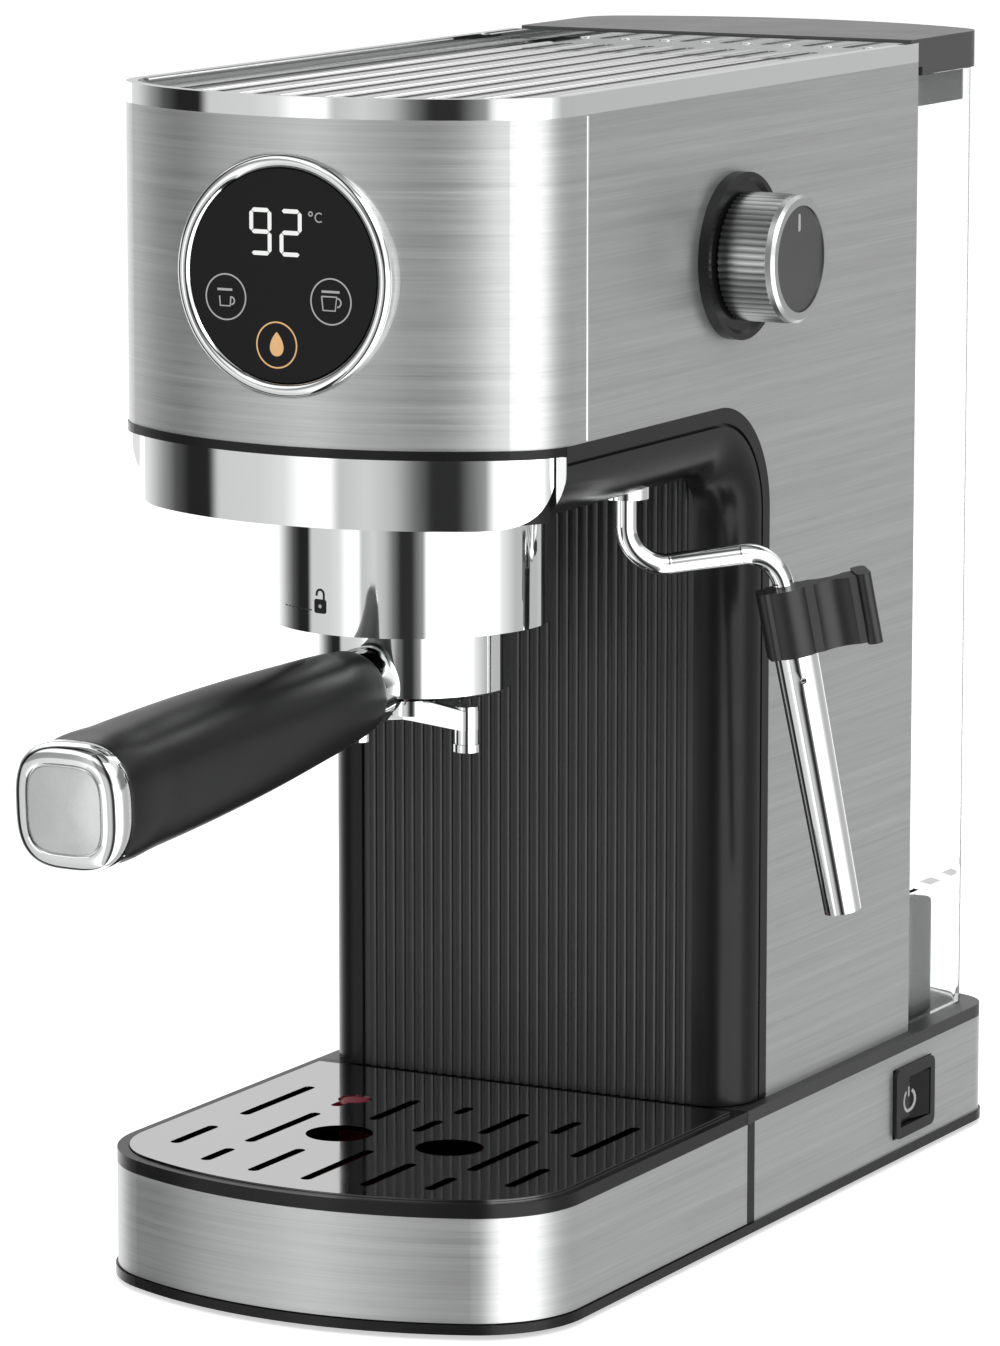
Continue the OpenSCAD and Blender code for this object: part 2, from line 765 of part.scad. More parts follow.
// Chrome skirt round the front of the housing, swept up at both ends
module skirt() color(chrome_tone) difference() {
    slab(skirt_z, flange_z) intersection() {
        difference() {
            head_plan(skirt_inset);
            head_plan(skirt_inset + skirt_t);
        }
        front_of(trim_end_y - seat_gap);
    }
    side_plate(-body_w, body_w) polygon([
        [sweep_y - 1, skirt_z - 1],
        for (a = [0:7.5:90]) [sweep_y + sweep_r * sin(a), skirt_z + sweep_r * (1 - cos(a))],
        [sweep_y + sweep_r + 1, skirt_z + sweep_r], [sweep_y + sweep_r + 1, skirt_z - 1]
    ]);
}

// ---------------------------------------------------------------- brew group

collar_r = collar_d / 2;
collar_t = 1.5;
ring_r = collar_r - collar_t - seat_gap;
collar_top = under_z + 3.7;
flange_r = 29.8;
flange_h = 16.2;
cone_h = 6;
lug_r = 33;
lug_h = 3.4;
lug_arc = 26;
unlock_turn = 45;
cup_r = cup_d / 2;
gasket_r = 24.6;
gasket_h = 4.2;
plate_ring_r = neck_r + 5.2;
plate_ring_h = 2.4;

// Heights in the group, from the floor of the head's tub down: the disc above the screen, the
// rim of the filter holder, its lugs and the lower edge of the ring
disc_drop = 23.2;
group_disc = tub_floor - disc_drop;
rim_z = group_disc - gasket_h - 1;
lug_z = rim_z - 5.6;
group_low = lug_z - 3.6;

module at_group() { translate([0, group_y, 0]) children(); }

// Wedge about the group's axis, centred on an angle
module wedge(at, arc, r, h) {
    rotate([0, 0, at]) linear_extrude(h)
        polygon([[0, 0], r * [cos(arc / 2), -sin(arc / 2)] / cos(arc / 2),
                 r * [cos(arc / 2), sin(arc / 2)] / cos(arc / 2)]);
}

// Chrome collar round the brew group
module collar() color(chrome_tone) at_group() translate([0, 0, collar_z]) difference() {
    ring(collar_r, collar_r - collar_t, collar_top - collar_z);
    translate([0, 0, -eps]) cylinder(r1 = collar_r - 0.9, r2 = collar_r - collar_t, h = eps + 0.6);
}

// Cast ring of the brew group with the bayonet groove, and its flange in the head
module group_ring() color(alu_tone) at_group() difference() {
    union() {
        translate([0, 0, group_low]) cylinder(r = ring_r, h = collar_top - 0.8 - group_low);
        translate([0, 0, group_disc]) cylinder(r = neck_r, h = tub_floor - group_disc + eps);
        translate([0, 0, tub_floor]) cylinder(r = plate_ring_r, h = plate_ring_h);
    }
    translate([0, 0, group_low - eps]) cylinder(r = flange_r + 0.6, h = group_disc - group_low + eps);
    translate([0, 0, lug_z - 0.6]) cylinder(r = lug_r + 0.5, h = lug_h + 1.2);
    for (a = [0, 180]) translate([0, 0, group_low - eps]) intersection() {
        wedge(a - unlock_turn, lug_arc + 6, 60, lug_z - group_low + 2);
        cylinder(r = lug_r + 0.5, h = lug_z - group_low + 2);
    }
    translate([0, 0, group_disc - eps]) cylinder(r = 2.5, h = 40);
    // Weight-saving pocket above the disc
    translate([0, 0, group_disc + 6]) ring(neck_r - 5, 11, tub_floor - group_disc - 9.2);
}

// Silicone gasket that the filter basket is pressed against
module group_gasket() color("#c7c2b6") at_group() translate([0, 0, rim_z + 1])
    ring(flange_r, gasket_r, gasket_h);

// Perforated screen with its screw
module shower_screen() color(steel_tone) at_group() difference() {
    union() {
        translate([0, 0, group_disc - 2.6]) cylinder(r = gasket_r - 0.3, h = sheet_t);
        translate([0, 0, group_disc - 2.6]) ring(gasket_r - 0.3, gasket_r - 1.2, 2.6);
        translate([0, 0, group_disc - 4]) cylinder(r = 3.4, h = 1.6);
    }
    for (k = [1:3], i = [0:6 * k - 1]) rotate([0, 0, i * 60 / k])
        translate([k * 6.4, 0, group_disc - 5]) cylinder(r = 0.7, h = 5);
}

block_r = 42;
block_z = tub_floor + plate_ring_h;
block_h = 44;
inlet_h = 14.4;

// Heating block above the brew group, with cooling grooves and the ends of its element
module thermoblock() color(alu_tone) at_group() difference() {
    union() {
        translate([0, 0, block_z]) cylinder(r = block_r, h = block_h);
        for (s = [-1, 1]) translate([s * 20, 0, block_z + block_h / 2]) rod_y(block_r - 8, block_r + 5, 3.2);
        translate([0, 0, block_z + inlet_h]) rod_y(block_r - 4, block_r + 2, 5);
    }
    for (i = [0:3]) translate([0, 0, block_z + 5 + i * 9.5]) ring(block_r + 1, block_r - 4, 5);
    translate([0, 0, block_z + block_h - 3]) ring(block_r - 6, 26, 4);
    translate([0, 0, block_z - eps]) cylinder(r = 2.5, h = 10);
}

// Two thermostats on the heating block
module thermostats() color("#8a7f72") at_group() for (s = [-1, 1])
    translate([s * 13, 0, block_z + block_h]) {
        cylinder(r = 8, h = 4);
        translate([0, 0, 4]) cylinder(r = 5.5, h = 3);
        for (t = [-1, 1]) translate([-0.4, t * 8 - 3, 2]) cube([0.8, 6, 7]);
    }

pump_r = 22;
pump_h = 56;
coil_w = 32;
coil_h = 34;
pump_z = pump_shelf_z + shelf_t + 4;
pump_low = pump_z - 20;
pump_high = pump_z + pump_h + 28;

// Vibration pump: coil, inlet and outlet
module pump() color("#4d4f52") translate([0, pump_y, 0]) {
    translate([0, 0, pump_z]) cylinder(r = pump_r, h = pump_h);
    translate([-pump_r - 3, -coil_w / 2, pump_z + 12]) cube([2 * pump_r + 6, coil_w, coil_h]);
    translate([0, 0, pump_z - 12]) cylinder(r = pump_pipe_r, h = pump_h + 24);
    difference() {
        translate([0, 0, pump_low]) cylinder(r = 4, h = pump_high - pump_low);
        for (z = [pump_low - eps, pump_high - 20 - eps]) translate([0, 0, z])
            cylinder(r = 1.6, h = 20 + 2 * eps);
    }
}

// Rubber ring that the pump stands on
module pump_mounts() color(rubber_tone) translate([0, pump_y, pump_shelf_z - 3]) {
    ring(mount_r, pump_pipe_r + 0.05, 9.5);
    translate([0, 0, 5.5]) ring(20, pump_pipe_r + 0.05, 4);
}

// Three-way valve that relieves the group's pressure
module solenoid_valve() color(brass_tone) at_solenoid() difference() {
    union() {
        translate([-11, -11, 0]) cube([22, 22, solenoid_block_h]);
        translate([0, 0, solenoid_block_h - eps]) cylinder(r = 6, h = 34);
        translate([-13, -14, solenoid_block_h + 3]) cube([26, 28, 26]);
        translate([0, 0, -3]) cylinder(r = solenoid_stub_r, h = 4);
    }
    translate([0, 0, -4]) cylinder(r = 1.8, h = solenoid_block_h);
}
solenoid_block_h = 16;

module at_solenoid() {
    translate([solenoid_x, solenoid_y, pump_shelf_z + shelf_t]) children();
}

// Silicone hoses from the tank dock to the pump, and from the pump to the heating block
module water_hoses() color("#c9cdd0") {
    rotate([0, 0, 90]) {
        bent_rod([[spigot_y, spigot_low], [spigot_y, 13], [pump_y, 13], [pump_y, pump_low]], 9, 3);
        bent_rod([[pump_y, pump_high], [pump_y, block_z + inlet_h],
                  [group_y + block_r + 2, block_z + inlet_h]], 14, 2.6);
    }
}

valve_w = 24;
valve_x = body_w / 2 - 34;
stub_len = 2.6;
boss_x = body_w / 2 - 6;
stem_r = 4;
stem_x = body_w / 2 - 24;
steam_pipe_r = 2;
nozzle_h = 6;

// Steam valve behind the knob
module steam_valve() color(brass_tone) translate([0, knob_y, knob_z]) difference() {
    union() {
        translate([valve_x, -valve_w / 2, -valve_w / 2]) cube(valve_w);
        rod_x(valve_x + valve_w - 1, boss_x, 8);
        translate([wand_x, -valve_w / 2 - stub_len, 0]) rod_y(0, stub_len + 1.4, 4.5);
        translate([valve_x + 6, 0, -30]) cylinder(r = 4, h = 20);
    }
    rod_x(stem_x - 2, boss_x + 1, stem_r + run_gap);
    translate([wand_x, -valve_w / 2 - stub_len - 1.4, 0]) rod_y(0, valve_w / 2, 1.8);
}

// Pipe from the steam valve to the wand's socket, with an elbow where it turns down
module steam_line() color("#b8703f") translate([wand_x, 0, 0]) {
    translate([0, wand_y, tub_floor + nozzle_h])
        cylinder(r = steam_pipe_r, h = knob_z - tub_floor - nozzle_h);
    translate([0, wand_y, knob_z]) sphere(steam_pipe_r + 1.6);
    translate([0, 0, knob_z]) rod_y(wand_y, knob_y - valve_w / 2 - stub_len, steam_pipe_r);
}

// Bush that the wand swivels in
module wand_socket() color(chrome_tone) translate([wand_x, wand_y, 0]) difference() {
    union() {
        translate([0, 0, under_z - 1.2]) cylinder(r = socket_r, h = tub_floor - under_z + 1.2 + eps);
        translate([0, 0, tub_floor]) cylinder(r = socket_r + 1.8, h = 3);
        translate([0, 0, tub_floor]) cylinder(r = 3.4, h = nozzle_h);
    }
    translate([0, 0, under_z - 3]) cylinder(r = wand_d / 2 + run_gap, h = wand_in_z - under_z + 3.2);
    translate([0, 0, under_z]) cylinder(r = 1.6, h = 40);
}

board_y = 6;
board_z = 96;
board_w = 70;
board_h = 104;
board_t = 1.6;
board_edge = 5;

// Control board on four standoffs at the left of the column, with its relays and capacitors
module control_board() color("#2f5d3e") translate([-frame_x, board_y, board_z]) {
    x = 10.1;
    translate([x, 0, 0]) cube([board_t, board_w, board_h]);
    for (y = [board_edge, board_w - board_edge], z = [board_edge, board_h - board_edge])
        translate([0, y, z]) rod_x(frame_wall, x + eps, 2.6);
    translate([x + board_t, 8, 8]) cube([15, 20, 18]);
    translate([x + board_t, 38, 12]) cube([12, 16, 24]);
    translate([x + board_t, 54, 64]) cube([5, 10, 22]);
    for (i = [0:3]) translate([0, 10 + i * 11, board_h / 2]) rod_x(x + 1, x + 14, 4);
}

// ---------------------------------------------------------------- head front and top

ring_bevel = 0.8;
ring_front = -head_front - ring_bevel;
ring_depth = 11.3;
glass_r = display_d / 2 - 3.8;
glass_t = 2;

// Chrome ring round the display
module display_ring() color(chrome_tone) translate([0, 0, display_z]) difference() {
    union() {
        rod_y(ring_front + ring_bevel, ring_front + ring_depth, display_d / 2);
        translate([0, ring_front, 0]) rotate([-90, 0, 0])
            cylinder(r1 = display_d / 2 - ring_bevel, r2 = display_d / 2, h = ring_bevel);
    }
    rod_y(ring_front - 1, ring_front + 1 + glass_t, glass_r + seat_gap);
    translate([0, ring_front - eps, 0]) rotate([-90, 0, 0])
        cylinder(r1 = glass_r + 1.5, r2 = glass_r + seat_gap, h = eps + 1);
    rod_y(ring_front, ring_front + 6, glass_r - 2);
    rod_y(ring_front + 5, ring_front + ring_depth + 4, glass_r);
}

// Dark glass of the display, with the touch fields behind it
module display_glass() color("#0c0d0e") translate([0, 0, display_z])
    rod_y(ring_front + 1, ring_front + 1 + glass_t, glass_r);

// Board of the display
module display_board() color("#2f5d3e") translate([0, 0, display_z]) {
    rod_y(ring_front + 5, ring_front + 6.6, glass_r - seat_gap);
    translate([-14, ring_front + 3, 2]) cube([28, 2.2, 14]);
    for (x = [-13, 0, 13]) translate([x, 0, x == 0 ? -17 : -8]) rod_y(ring_front + 3, ring_front + 5.2, 4);
    translate([-8, ring_front + 6.5, -6]) cube([16, 4, 12]);
}

bezel_r = knob_d / 2 + 5;

// Black bezel of the steam knob, with the bearing of the stem
module knob_bezel() color(black_tone) translate([0, knob_y, knob_z]) difference() {
    union() {
        rod_x(body_w / 2, body_w / 2 + 3, bezel_r);
        rod_x(boss_x, body_w / 2 + eps, knob_boss_r);
    }
    rod_x(boss_x - 6, body_w, stem_r + run_gap);
    translate([body_w / 2 + 2, 0, 0]) rotate([0, 90, 0])
        cylinder(r1 = bezel_r - 2.5, r2 = bezel_r - 1, h = 1 + eps);
}

cup_slots = 9;
head_bow = body_w / 2 - head_at[0] + norm(head_at);
cup_slot_pitch = 12.4;
cup_slot_w = 3.2;
cup_recess = 2.6;
cup_rim = 3;
slot_rear = column_rear - 12.5;

// Chrome-edged cup plate with its recess and long grooves
module cup_plate() color(chrome_tone) difference() {
    slab(head_top, cup_top) head_plan();
    slab(cup_top - cup_recess, cup_top + eps) intersection() {
        head_plan(cup_rim);
        front_of(column_rear - cup_rim);
    }
    for (i = [0:cup_slots - 1]) {
        x = (i - (cup_slots - 1) / 2) * cup_slot_pitch;
        y0 = -head_front + head_bow - sqrt(pow(head_bow, 2) - x * x) + 11 + 0.004 * x * x;
        translate([x, (y0 + slot_rear) / 2, cup_top - cup_recess - 1.4]) slab(0, 3)
            stadium(slot_rear - y0, cup_slot_w);
    }
}

// ---------------------------------------------------------------- steam knob

knob_base = body_w / 2 + 2.4;
knob_face = body_w / 2 + 18.6;
flutes = 56;
flute_depth = 0.55;
inset_r = knob_d / 2 - 3;

// Fluted knob with a polished rim
module steam_knob() color(steel_tone) translate([0, knob_y, knob_z]) rotate([0, 90, 0]) difference() {
    r = knob_d / 2;
    union() {
        slab(knob_base + 0.6, knob_face - 2.4) polygon([for (i = [0:2 * flutes - 1])
            (r - (i % 2) * flute_depth) * [cos(i * 180 / flutes), sin(i * 180 / flutes)]]);
        translate([0, 0, knob_face - 2.4]) cylinder(r = r - 0.2, h = 1.6);
        translate([0, 0, knob_face - 0.8]) cylinder(r1 = r - 0.2, r2 = r - 1, h = 0.8);
    }
    translate([0, 0, knob_face - 1.6]) cylinder(r = inset_r + seat_gap, h = 3);
    translate([0, 0, knob_base]) cylinder(r = stem_r, h = 11);
}

// Dark disc in the face of the knob, with its pointer
module knob_inset() color("#4a4b4c") translate([0, knob_y, knob_z]) difference() {
    rod_x(knob_face - 1.6, knob_face - 0.5, inset_r);
    translate([knob_face - 1, -0.8, 7]) cube([2, 1.6, 4.5]);
}

// Stem of the steam valve, pressed into the knob
module valve_stem() color(brass_tone) translate([0, knob_y, knob_z]) rod_x(stem_x, knob_base + 10, stem_r);

// ---------------------------------------------------------------- filter holder

handle_z = cup_z + 4.4;
grip_start = 31.5;
grip_end = handle_tip - 7;
core_r = 4;
ferrule_len = 5;
basket_r = cup_r - 1.25;
basket_h = 22;
cone_z = rim_z - flange_h - cone_h;
spout_neck_r = 4.4;

module on_handle() { translate([0, group_y, handle_z]) rotate([handle_tilt, 0, 0]) children(); }

// Cup of the filter holder with its lugs and the neck of the handle
module filter_holder() color(chrome_tone) difference() {
    union() {
        at_group() {
            translate([0, 0, cup_z]) cylinder(r1 = cup_r - 0.8, r2 = cup_r, h = 0.8);
            translate([0, 0, cup_z + 0.8]) cylinder(r = cup_r, h = cone_z - cup_z - 0.8);
            translate([0, 0, cone_z]) cylinder(r1 = cup_r, r2 = flange_r, h = cone_h);
            translate([0, 0, cone_z + cone_h]) cylinder(r = flange_r, h = flange_h);
            for (a = [0, 180]) translate([0, 0, lug_z]) intersection() {
                wedge(a, lug_arc, 60, lug_h);
                cylinder(r = lug_r, h = lug_h);
            }
        }
        on_handle() rod_y(-grip_start + ferrule_len, -cup_r + 6, 8.6);
    }
    at_group() {
        translate([0, 0, rim_z - basket_h - 1.2]) cylinder(r = basket_r + 0.3, h = basket_h + 2);
        translate([0, 0, cup_z + 3]) cylinder(r = cup_r - 2.5, h = cone_z - cup_z - 3);
        translate([0, 0, cup_z - eps]) cylinder(r = spout_neck_r + seat_gap, h = 4);
    }
    on_handle() rod_y(-grip_start, -cup_r + 1, core_r + 0.05);
}

// Filter basket with its perforated floor
module filter_basket() color(steel_tone) at_group() difference() {
    union() {
        translate([0, 0, rim_z - basket_h]) cylinder(r = basket_r, h = basket_h);
        translate([0, 0, rim_z]) cylinder(r = flange_r - 0.3, h = 0.9);
    }
    translate([0, 0, rim_z - basket_h + 0.7]) cylinder(r = basket_r - 0.7, h = basket_h + 1);
    for (k = [0:3], i = [0:max(1, 6 * k) - 1]) rotate([0, 0, k == 0 ? 0 : i * 60 / k])
        translate([k * 5.6, 0, rim_z - basket_h - 1]) cylinder(r = 0.6, h = 3);
}

// Twin spout screwed into the bottom of the cup
module twin_spout() color(chrome_tone) at_group() difference() {
    union() {
        translate([0, 0, cup_z - 7]) cylinder(r = 7, h = 7);
        translate([0, 0, cup_z - 2]) cylinder(r = spout_neck_r, h = 5.4);
        for (s = [-1, 1]) {
            hull() {
                translate([0, 0, cup_z - 8]) cylinder(r = 5, h = 6, $fn = 32);
                translate([s * spout_x, 0, cup_z - 10]) cylinder(r = 3.2, h = 5, $fn = 32);
            }
            translate([s * spout_x, 0, spout_z]) cylinder(r = 3.1, h = cup_z - spout_z - 4);
            translate([s * spout_x, 0, spout_z]) cylinder(r = 3.45, h = 2);
        }
    }
    translate([0, 0, cup_z - 5]) cylinder(r = 2.6, h = 12);
    for (s = [-1, 1]) translate([s * spout_x, 0, spout_z - eps]) cylinder(r = 2.1, h = 10);
    translate([0, 0, cup_z - 6]) rod_x(-spout_x, spout_x, 1.7);
}

// Steel core of the handle
module handle_core() color(alu_tone) on_handle() rod_y(-grip_end + 12, -cup_r + 0.9, core_r);

// Rounded square slice of the handle at a distance from the group's axis
module slice(at, w, h, r) {
    translate([0, -at, 0]) rotate([90, 0, 0]) linear_extrude(0.4) rounded(w, h, r, $fn = 48);
}

// Grip that swells towards the tip
module handle_grip() color(black_tone) on_handle() difference() {
    hull() {
        slice(grip_start, 20, 20, 9.99);
        slice(grip_start + 4, 22, 22.5, 10.8);
        slice(grip_start + 30, 25.2, 26.4, 11.5);
        slice(grip_start + 70, 28.2, 29.6, 12);
        slice(grip_end - 20, 29.6, 30.6, 12);
        slice(grip_end - 0.4, 29, 30, 11.5);
    }
    rod_y(-grip_end + 11.5, -grip_start + 2, core_r + 0.05);
    rod_y(-grip_end - 2, -grip_end + 8, 4);
}

// Chrome ring between the neck and the grip
module handle_ferrule() color(chrome_tone) on_handle() difference() {
    rod_y(-grip_start, -grip_start + ferrule_len, 10.4);
    rod_y(-grip_start - 1, -grip_start + 6, core_r + 0.05);
}

// Chrome cap of the grip with its plain inset plate
module handle_cap() color(chrome_tone) on_handle() {
    difference() {
        hull() {
            slice(grip_end, 30, 31, 11);
            slice(grip_end + 3.2, 30, 31, 11);
            slice(grip_end + 5.4, 28, 29, 10.5);
            slice(grip_end + 6.6, 25, 26, 9.5);
        }
        translate([0, 0.6, 0]) slice(handle_tip, 20.4, 21.4, 6);
    }
    rod_y(-grip_end - 0.5, -grip_end + 7.5, 3.95);
}

// ---------------------------------------------------------------- steam wand

wand_low = [0, under_z - 19.6];
wand_high = [38.7, under_z - 15.1];
wand_tip = [56.5, wand_tip_z];
wand_in_z = tub_floor - 9.6;
wand_dir = unit(wand_tip - wand_high);
sleeve_len = 68;
grip_len = 17.4;
tab_len = 18.5;
sleeve_r1 = 5.6;
sleeve_r2 = 4.8;

module at_wand() { translate([wand_x, wand_y, 0]) rotate([0, 0, wand_turn]) children(); }

// Frame on the last leg of the wand: +Z runs back up from the tip
module on_wand_leg() {
    translate([wand_tip[0], 0, wand_tip[1]])
        rotate([0, atan2(-wand_dir[0], -wand_dir[1]), 0]) children();
}

// Bent steam tube
module wand_pipe() color(chrome_tone) at_wand() {
    pts = [[0, wand_in_z], wand_low, wand_high, wand_tip - wand_dir * 8];
    difference() {
        bent_rod(pts, 10, wand_d / 2);
        tube_leg([0, wand_in_z + 1], wand_low + [0, 12], wand_bore / 2);
        tube_leg(wand_tip - wand_dir * 7, wand_tip - wand_dir * 60, wand_bore / 2);
    }
}

// Rubber grip with its thumb tab
module wand_grip() color(rubber_tone) at_wand() on_wand_leg() translate([0, 0, sleeve_len + 0.2])
    difference() {
    union() {
        cylinder(r = 6.4, h = grip_len);
        translate([0, -4.4, 0]) cube([tab_len, 8.8, grip_len]);
        slab(-0.5, grip_len + 0.5) translate([tab_len + 1.6, 0]) rounded(3.8, 12.5, 1.8);
        slab(0, grip_len) translate([-5, 0]) rounded(4, 9, 1.5);
    }
    translate([0, 0, -eps]) cylinder(r = wand_d / 2 + 0.02, h = grip_len + 1);
    // Waist of the thumb tab
    for (s = [-1, 1]) translate([11.6, s * 9.6, -eps]) cylinder(r = 7, h = grip_len + 1);
}

// Chrome froth sleeve with its air hole
module froth_sleeve() color(chrome_tone) at_wand() on_wand_leg() difference() {
    cylinder(r1 = sleeve_r2, r2 = sleeve_r1, h = sleeve_len);
    translate([0, 0, 4]) cylinder(r = wand_d / 2 + 0.25, h = sleeve_len);
    translate([0, 0, -eps]) cylinder(r = 2, h = 6);
    translate([0, 0, sleeve_len - 6]) rotate([90, 0, 0]) cylinder(r = 0.8, h = 8);
}

// ---------------------------------------------------------------- water tank

skirt_bottom = deck_z + 0.3;
lid_side = 1;
front_round = 6;
valve_body_r = 7;

// Plan with a bowed rear, inset from the lid's sides and rear, and round front corners
module tank_plan(inset, front, round_f) {
    w = tank_w + 2 * lid_side;
    side = w / 2 - inset;
    y0 = front + round_f;
    translate([0, lid_rear]) mirror([0, 1]) bow_end(w, lid_at, inset);
    translate([-side, y0]) square([2 * side, lid_rear - bow_depth(w, lid_at) - y0]);
    translate([round_f - side, front]) square([2 * (side - round_f), round_f + 1]);
    for (s = [-1, 1]) translate([s * (side - round_f), y0]) circle(round_f);
}

// Plan of the tank, a distance inside its outer face
module tank_shell(depth = 0) {
    tank_plan(lid_side + depth, tank_front + depth, front_round - depth);
}

// Clear tank with its hollow foot
module water_tank() color("#e4edf0", 0.35) difference() {
    slab(skirt_bottom, tank_top) tank_shell();
    slab(tank_floor_z + tank_wall, tank_top + eps) tank_shell(tank_wall);
    slab(skirt_bottom - eps, tank_floor_z) tank_shell(tank_wall);
    translate([0, spigot_y, tank_floor_z - eps]) cylinder(r = valve_body_r + seat_gap, h = 5);
}

// Spring valve in the floor of the tank
module tank_valve() color("#d9dadb") translate([0, spigot_y, 0]) difference() {
    union() {
        translate([0, 0, dock_top + 1.8]) cylinder(r = valve_body_r, h = tank_floor_z + tank_wall - dock_top - 1.6);
        translate([0, 0, tank_floor_z + tank_wall]) cylinder(r = 11, h = 2);
        translate([0, 0, tank_floor_z + tank_wall]) cylinder(r = 6, h = 12);
        for (a = [0:60:300]) rotate([0, 0, a]) translate([0, -0.8, tank_floor_z + tank_wall])
            cube([10, 1.6, 8]);
    }
    translate([0, 0, dock_top]) cylinder(r = 2.5, h = 30);
}

// Lid of the tank with its plug and finger notches
module tank_lid() color(lid_tone) difference() {
    union() {
        slab(tank_top + 0.3, lid_z) tank_plan(0, column_rear + 0.5, 1.5);
        slab(tank_top - 8.6, tank_top + 0.3 + eps) tank_shell(tank_wall + slide_gap);
    }
    slab(tank_top - 9, tank_top + 4) tank_shell(tank_wall + slide_gap + 2);
    for (s = [-1, 1]) translate([s * (tank_w / 2 + lid_side), column_rear + 3, tank_top])
        cube([10, 8, 5], center = true);
}

base_pan();
rubber_feet();
base_band();
base_deck();
base_screws();
cord_gland();
tank_dock();
dock_spigot();
switch_bezel();
power_rocker();
drip_tray();
tray_band();
drip_plate();
float_indicator();
main_frame();
column_panel();
arch_trim_left();
arch_trim_right();
side_sheet_left();
side_sheet_right();
rear_cover();
head_wrap();
head_housing();
skirt();
collar();
group_ring();
group_gasket();
shower_screen();
thermoblock();
thermostats();
pump();
pump_mounts();
solenoid_valve();
water_hoses();
steam_valve();
steam_line();
wand_socket();
control_board();
display_ring();
display_glass();
display_board();
knob_bezel();
cup_plate();
steam_knob();
knob_inset();
valve_stem();
filter_holder();
filter_basket();
twin_spout();
handle_core();
handle_grip();
handle_ferrule();
handle_cap();
wand_pipe();
wand_grip();
froth_sleeve();
water_tank();
tank_valve();
tank_lid();
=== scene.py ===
"""Dresses a slim pump espresso machine in its finishes and adds what the solids leave to the
looks: the display's ring and marks, printed symbols, the moulded handle, the cup plate's ribs,
small trims and the studio."""

import json
import math

import bmesh
import bpy
import numpy as np
from bpy.props import FloatProperty, FloatVectorProperty, PointerProperty
from bpy.types import Operator, Panel, PropertyGroup
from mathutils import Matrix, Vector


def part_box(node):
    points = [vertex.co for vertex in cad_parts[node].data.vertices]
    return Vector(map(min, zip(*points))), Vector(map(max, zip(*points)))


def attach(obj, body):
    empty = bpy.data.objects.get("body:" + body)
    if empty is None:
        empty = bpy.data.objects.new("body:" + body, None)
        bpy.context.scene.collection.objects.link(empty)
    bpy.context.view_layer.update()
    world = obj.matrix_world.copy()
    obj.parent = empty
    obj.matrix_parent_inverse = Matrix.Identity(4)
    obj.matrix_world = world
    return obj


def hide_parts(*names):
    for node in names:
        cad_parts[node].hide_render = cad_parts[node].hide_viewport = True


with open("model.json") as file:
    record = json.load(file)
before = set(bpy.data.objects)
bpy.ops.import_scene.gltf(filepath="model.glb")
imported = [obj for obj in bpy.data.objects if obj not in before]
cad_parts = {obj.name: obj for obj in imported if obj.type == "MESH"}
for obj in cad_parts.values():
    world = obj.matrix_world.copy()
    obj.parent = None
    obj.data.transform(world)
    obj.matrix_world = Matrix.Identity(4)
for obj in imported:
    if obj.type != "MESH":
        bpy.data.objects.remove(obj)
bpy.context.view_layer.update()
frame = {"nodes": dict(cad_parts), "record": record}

bl_info = {
    "name": "Espresso Machine Looks",
    "version": (1, 0, 0),
    "blender": (4, 5, 0),
    "location": "View3D > Sidebar > Espresso",
    "description": "Finishes, printed marks and studio for a slim espresso machine",
    "category": "Object",
}

MM = 0.001

# Gap that keeps a laid-on piece clear of the face below it
SKIN = 0.00002

# Radius of the head's bowed front
HEAD_BOW = 0.0888

# Angles past which an edge stays sharp, on turned shapes and on strips
LATHE_CREASE = 0.6
STRIP_CREASE = 0.7


# ------------------------------------------------------------------ places taken from the frame


def node_box(node):
    """Lowest and highest corner of a solid as numpy arrays."""
    low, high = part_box(node)
    return np.array(low), np.array(high)


def node_centre(node):
    """Middle of a solid's box."""
    low, high = node_box(node)
    return (low + high) / 2


def head_bow(across):
    """How far the bowed front of the head falls back at a distance from its middle: its radius
    less the square root of the radius squared less the distance squared."""
    return HEAD_BOW - np.sqrt(HEAD_BOW ** 2 - across ** 2)


# ------------------------------------------------------------------ settings


# What every colour has in common
COLOUR = {"subtype": "COLOR", "size": 3, "min": 0, "max": 1}


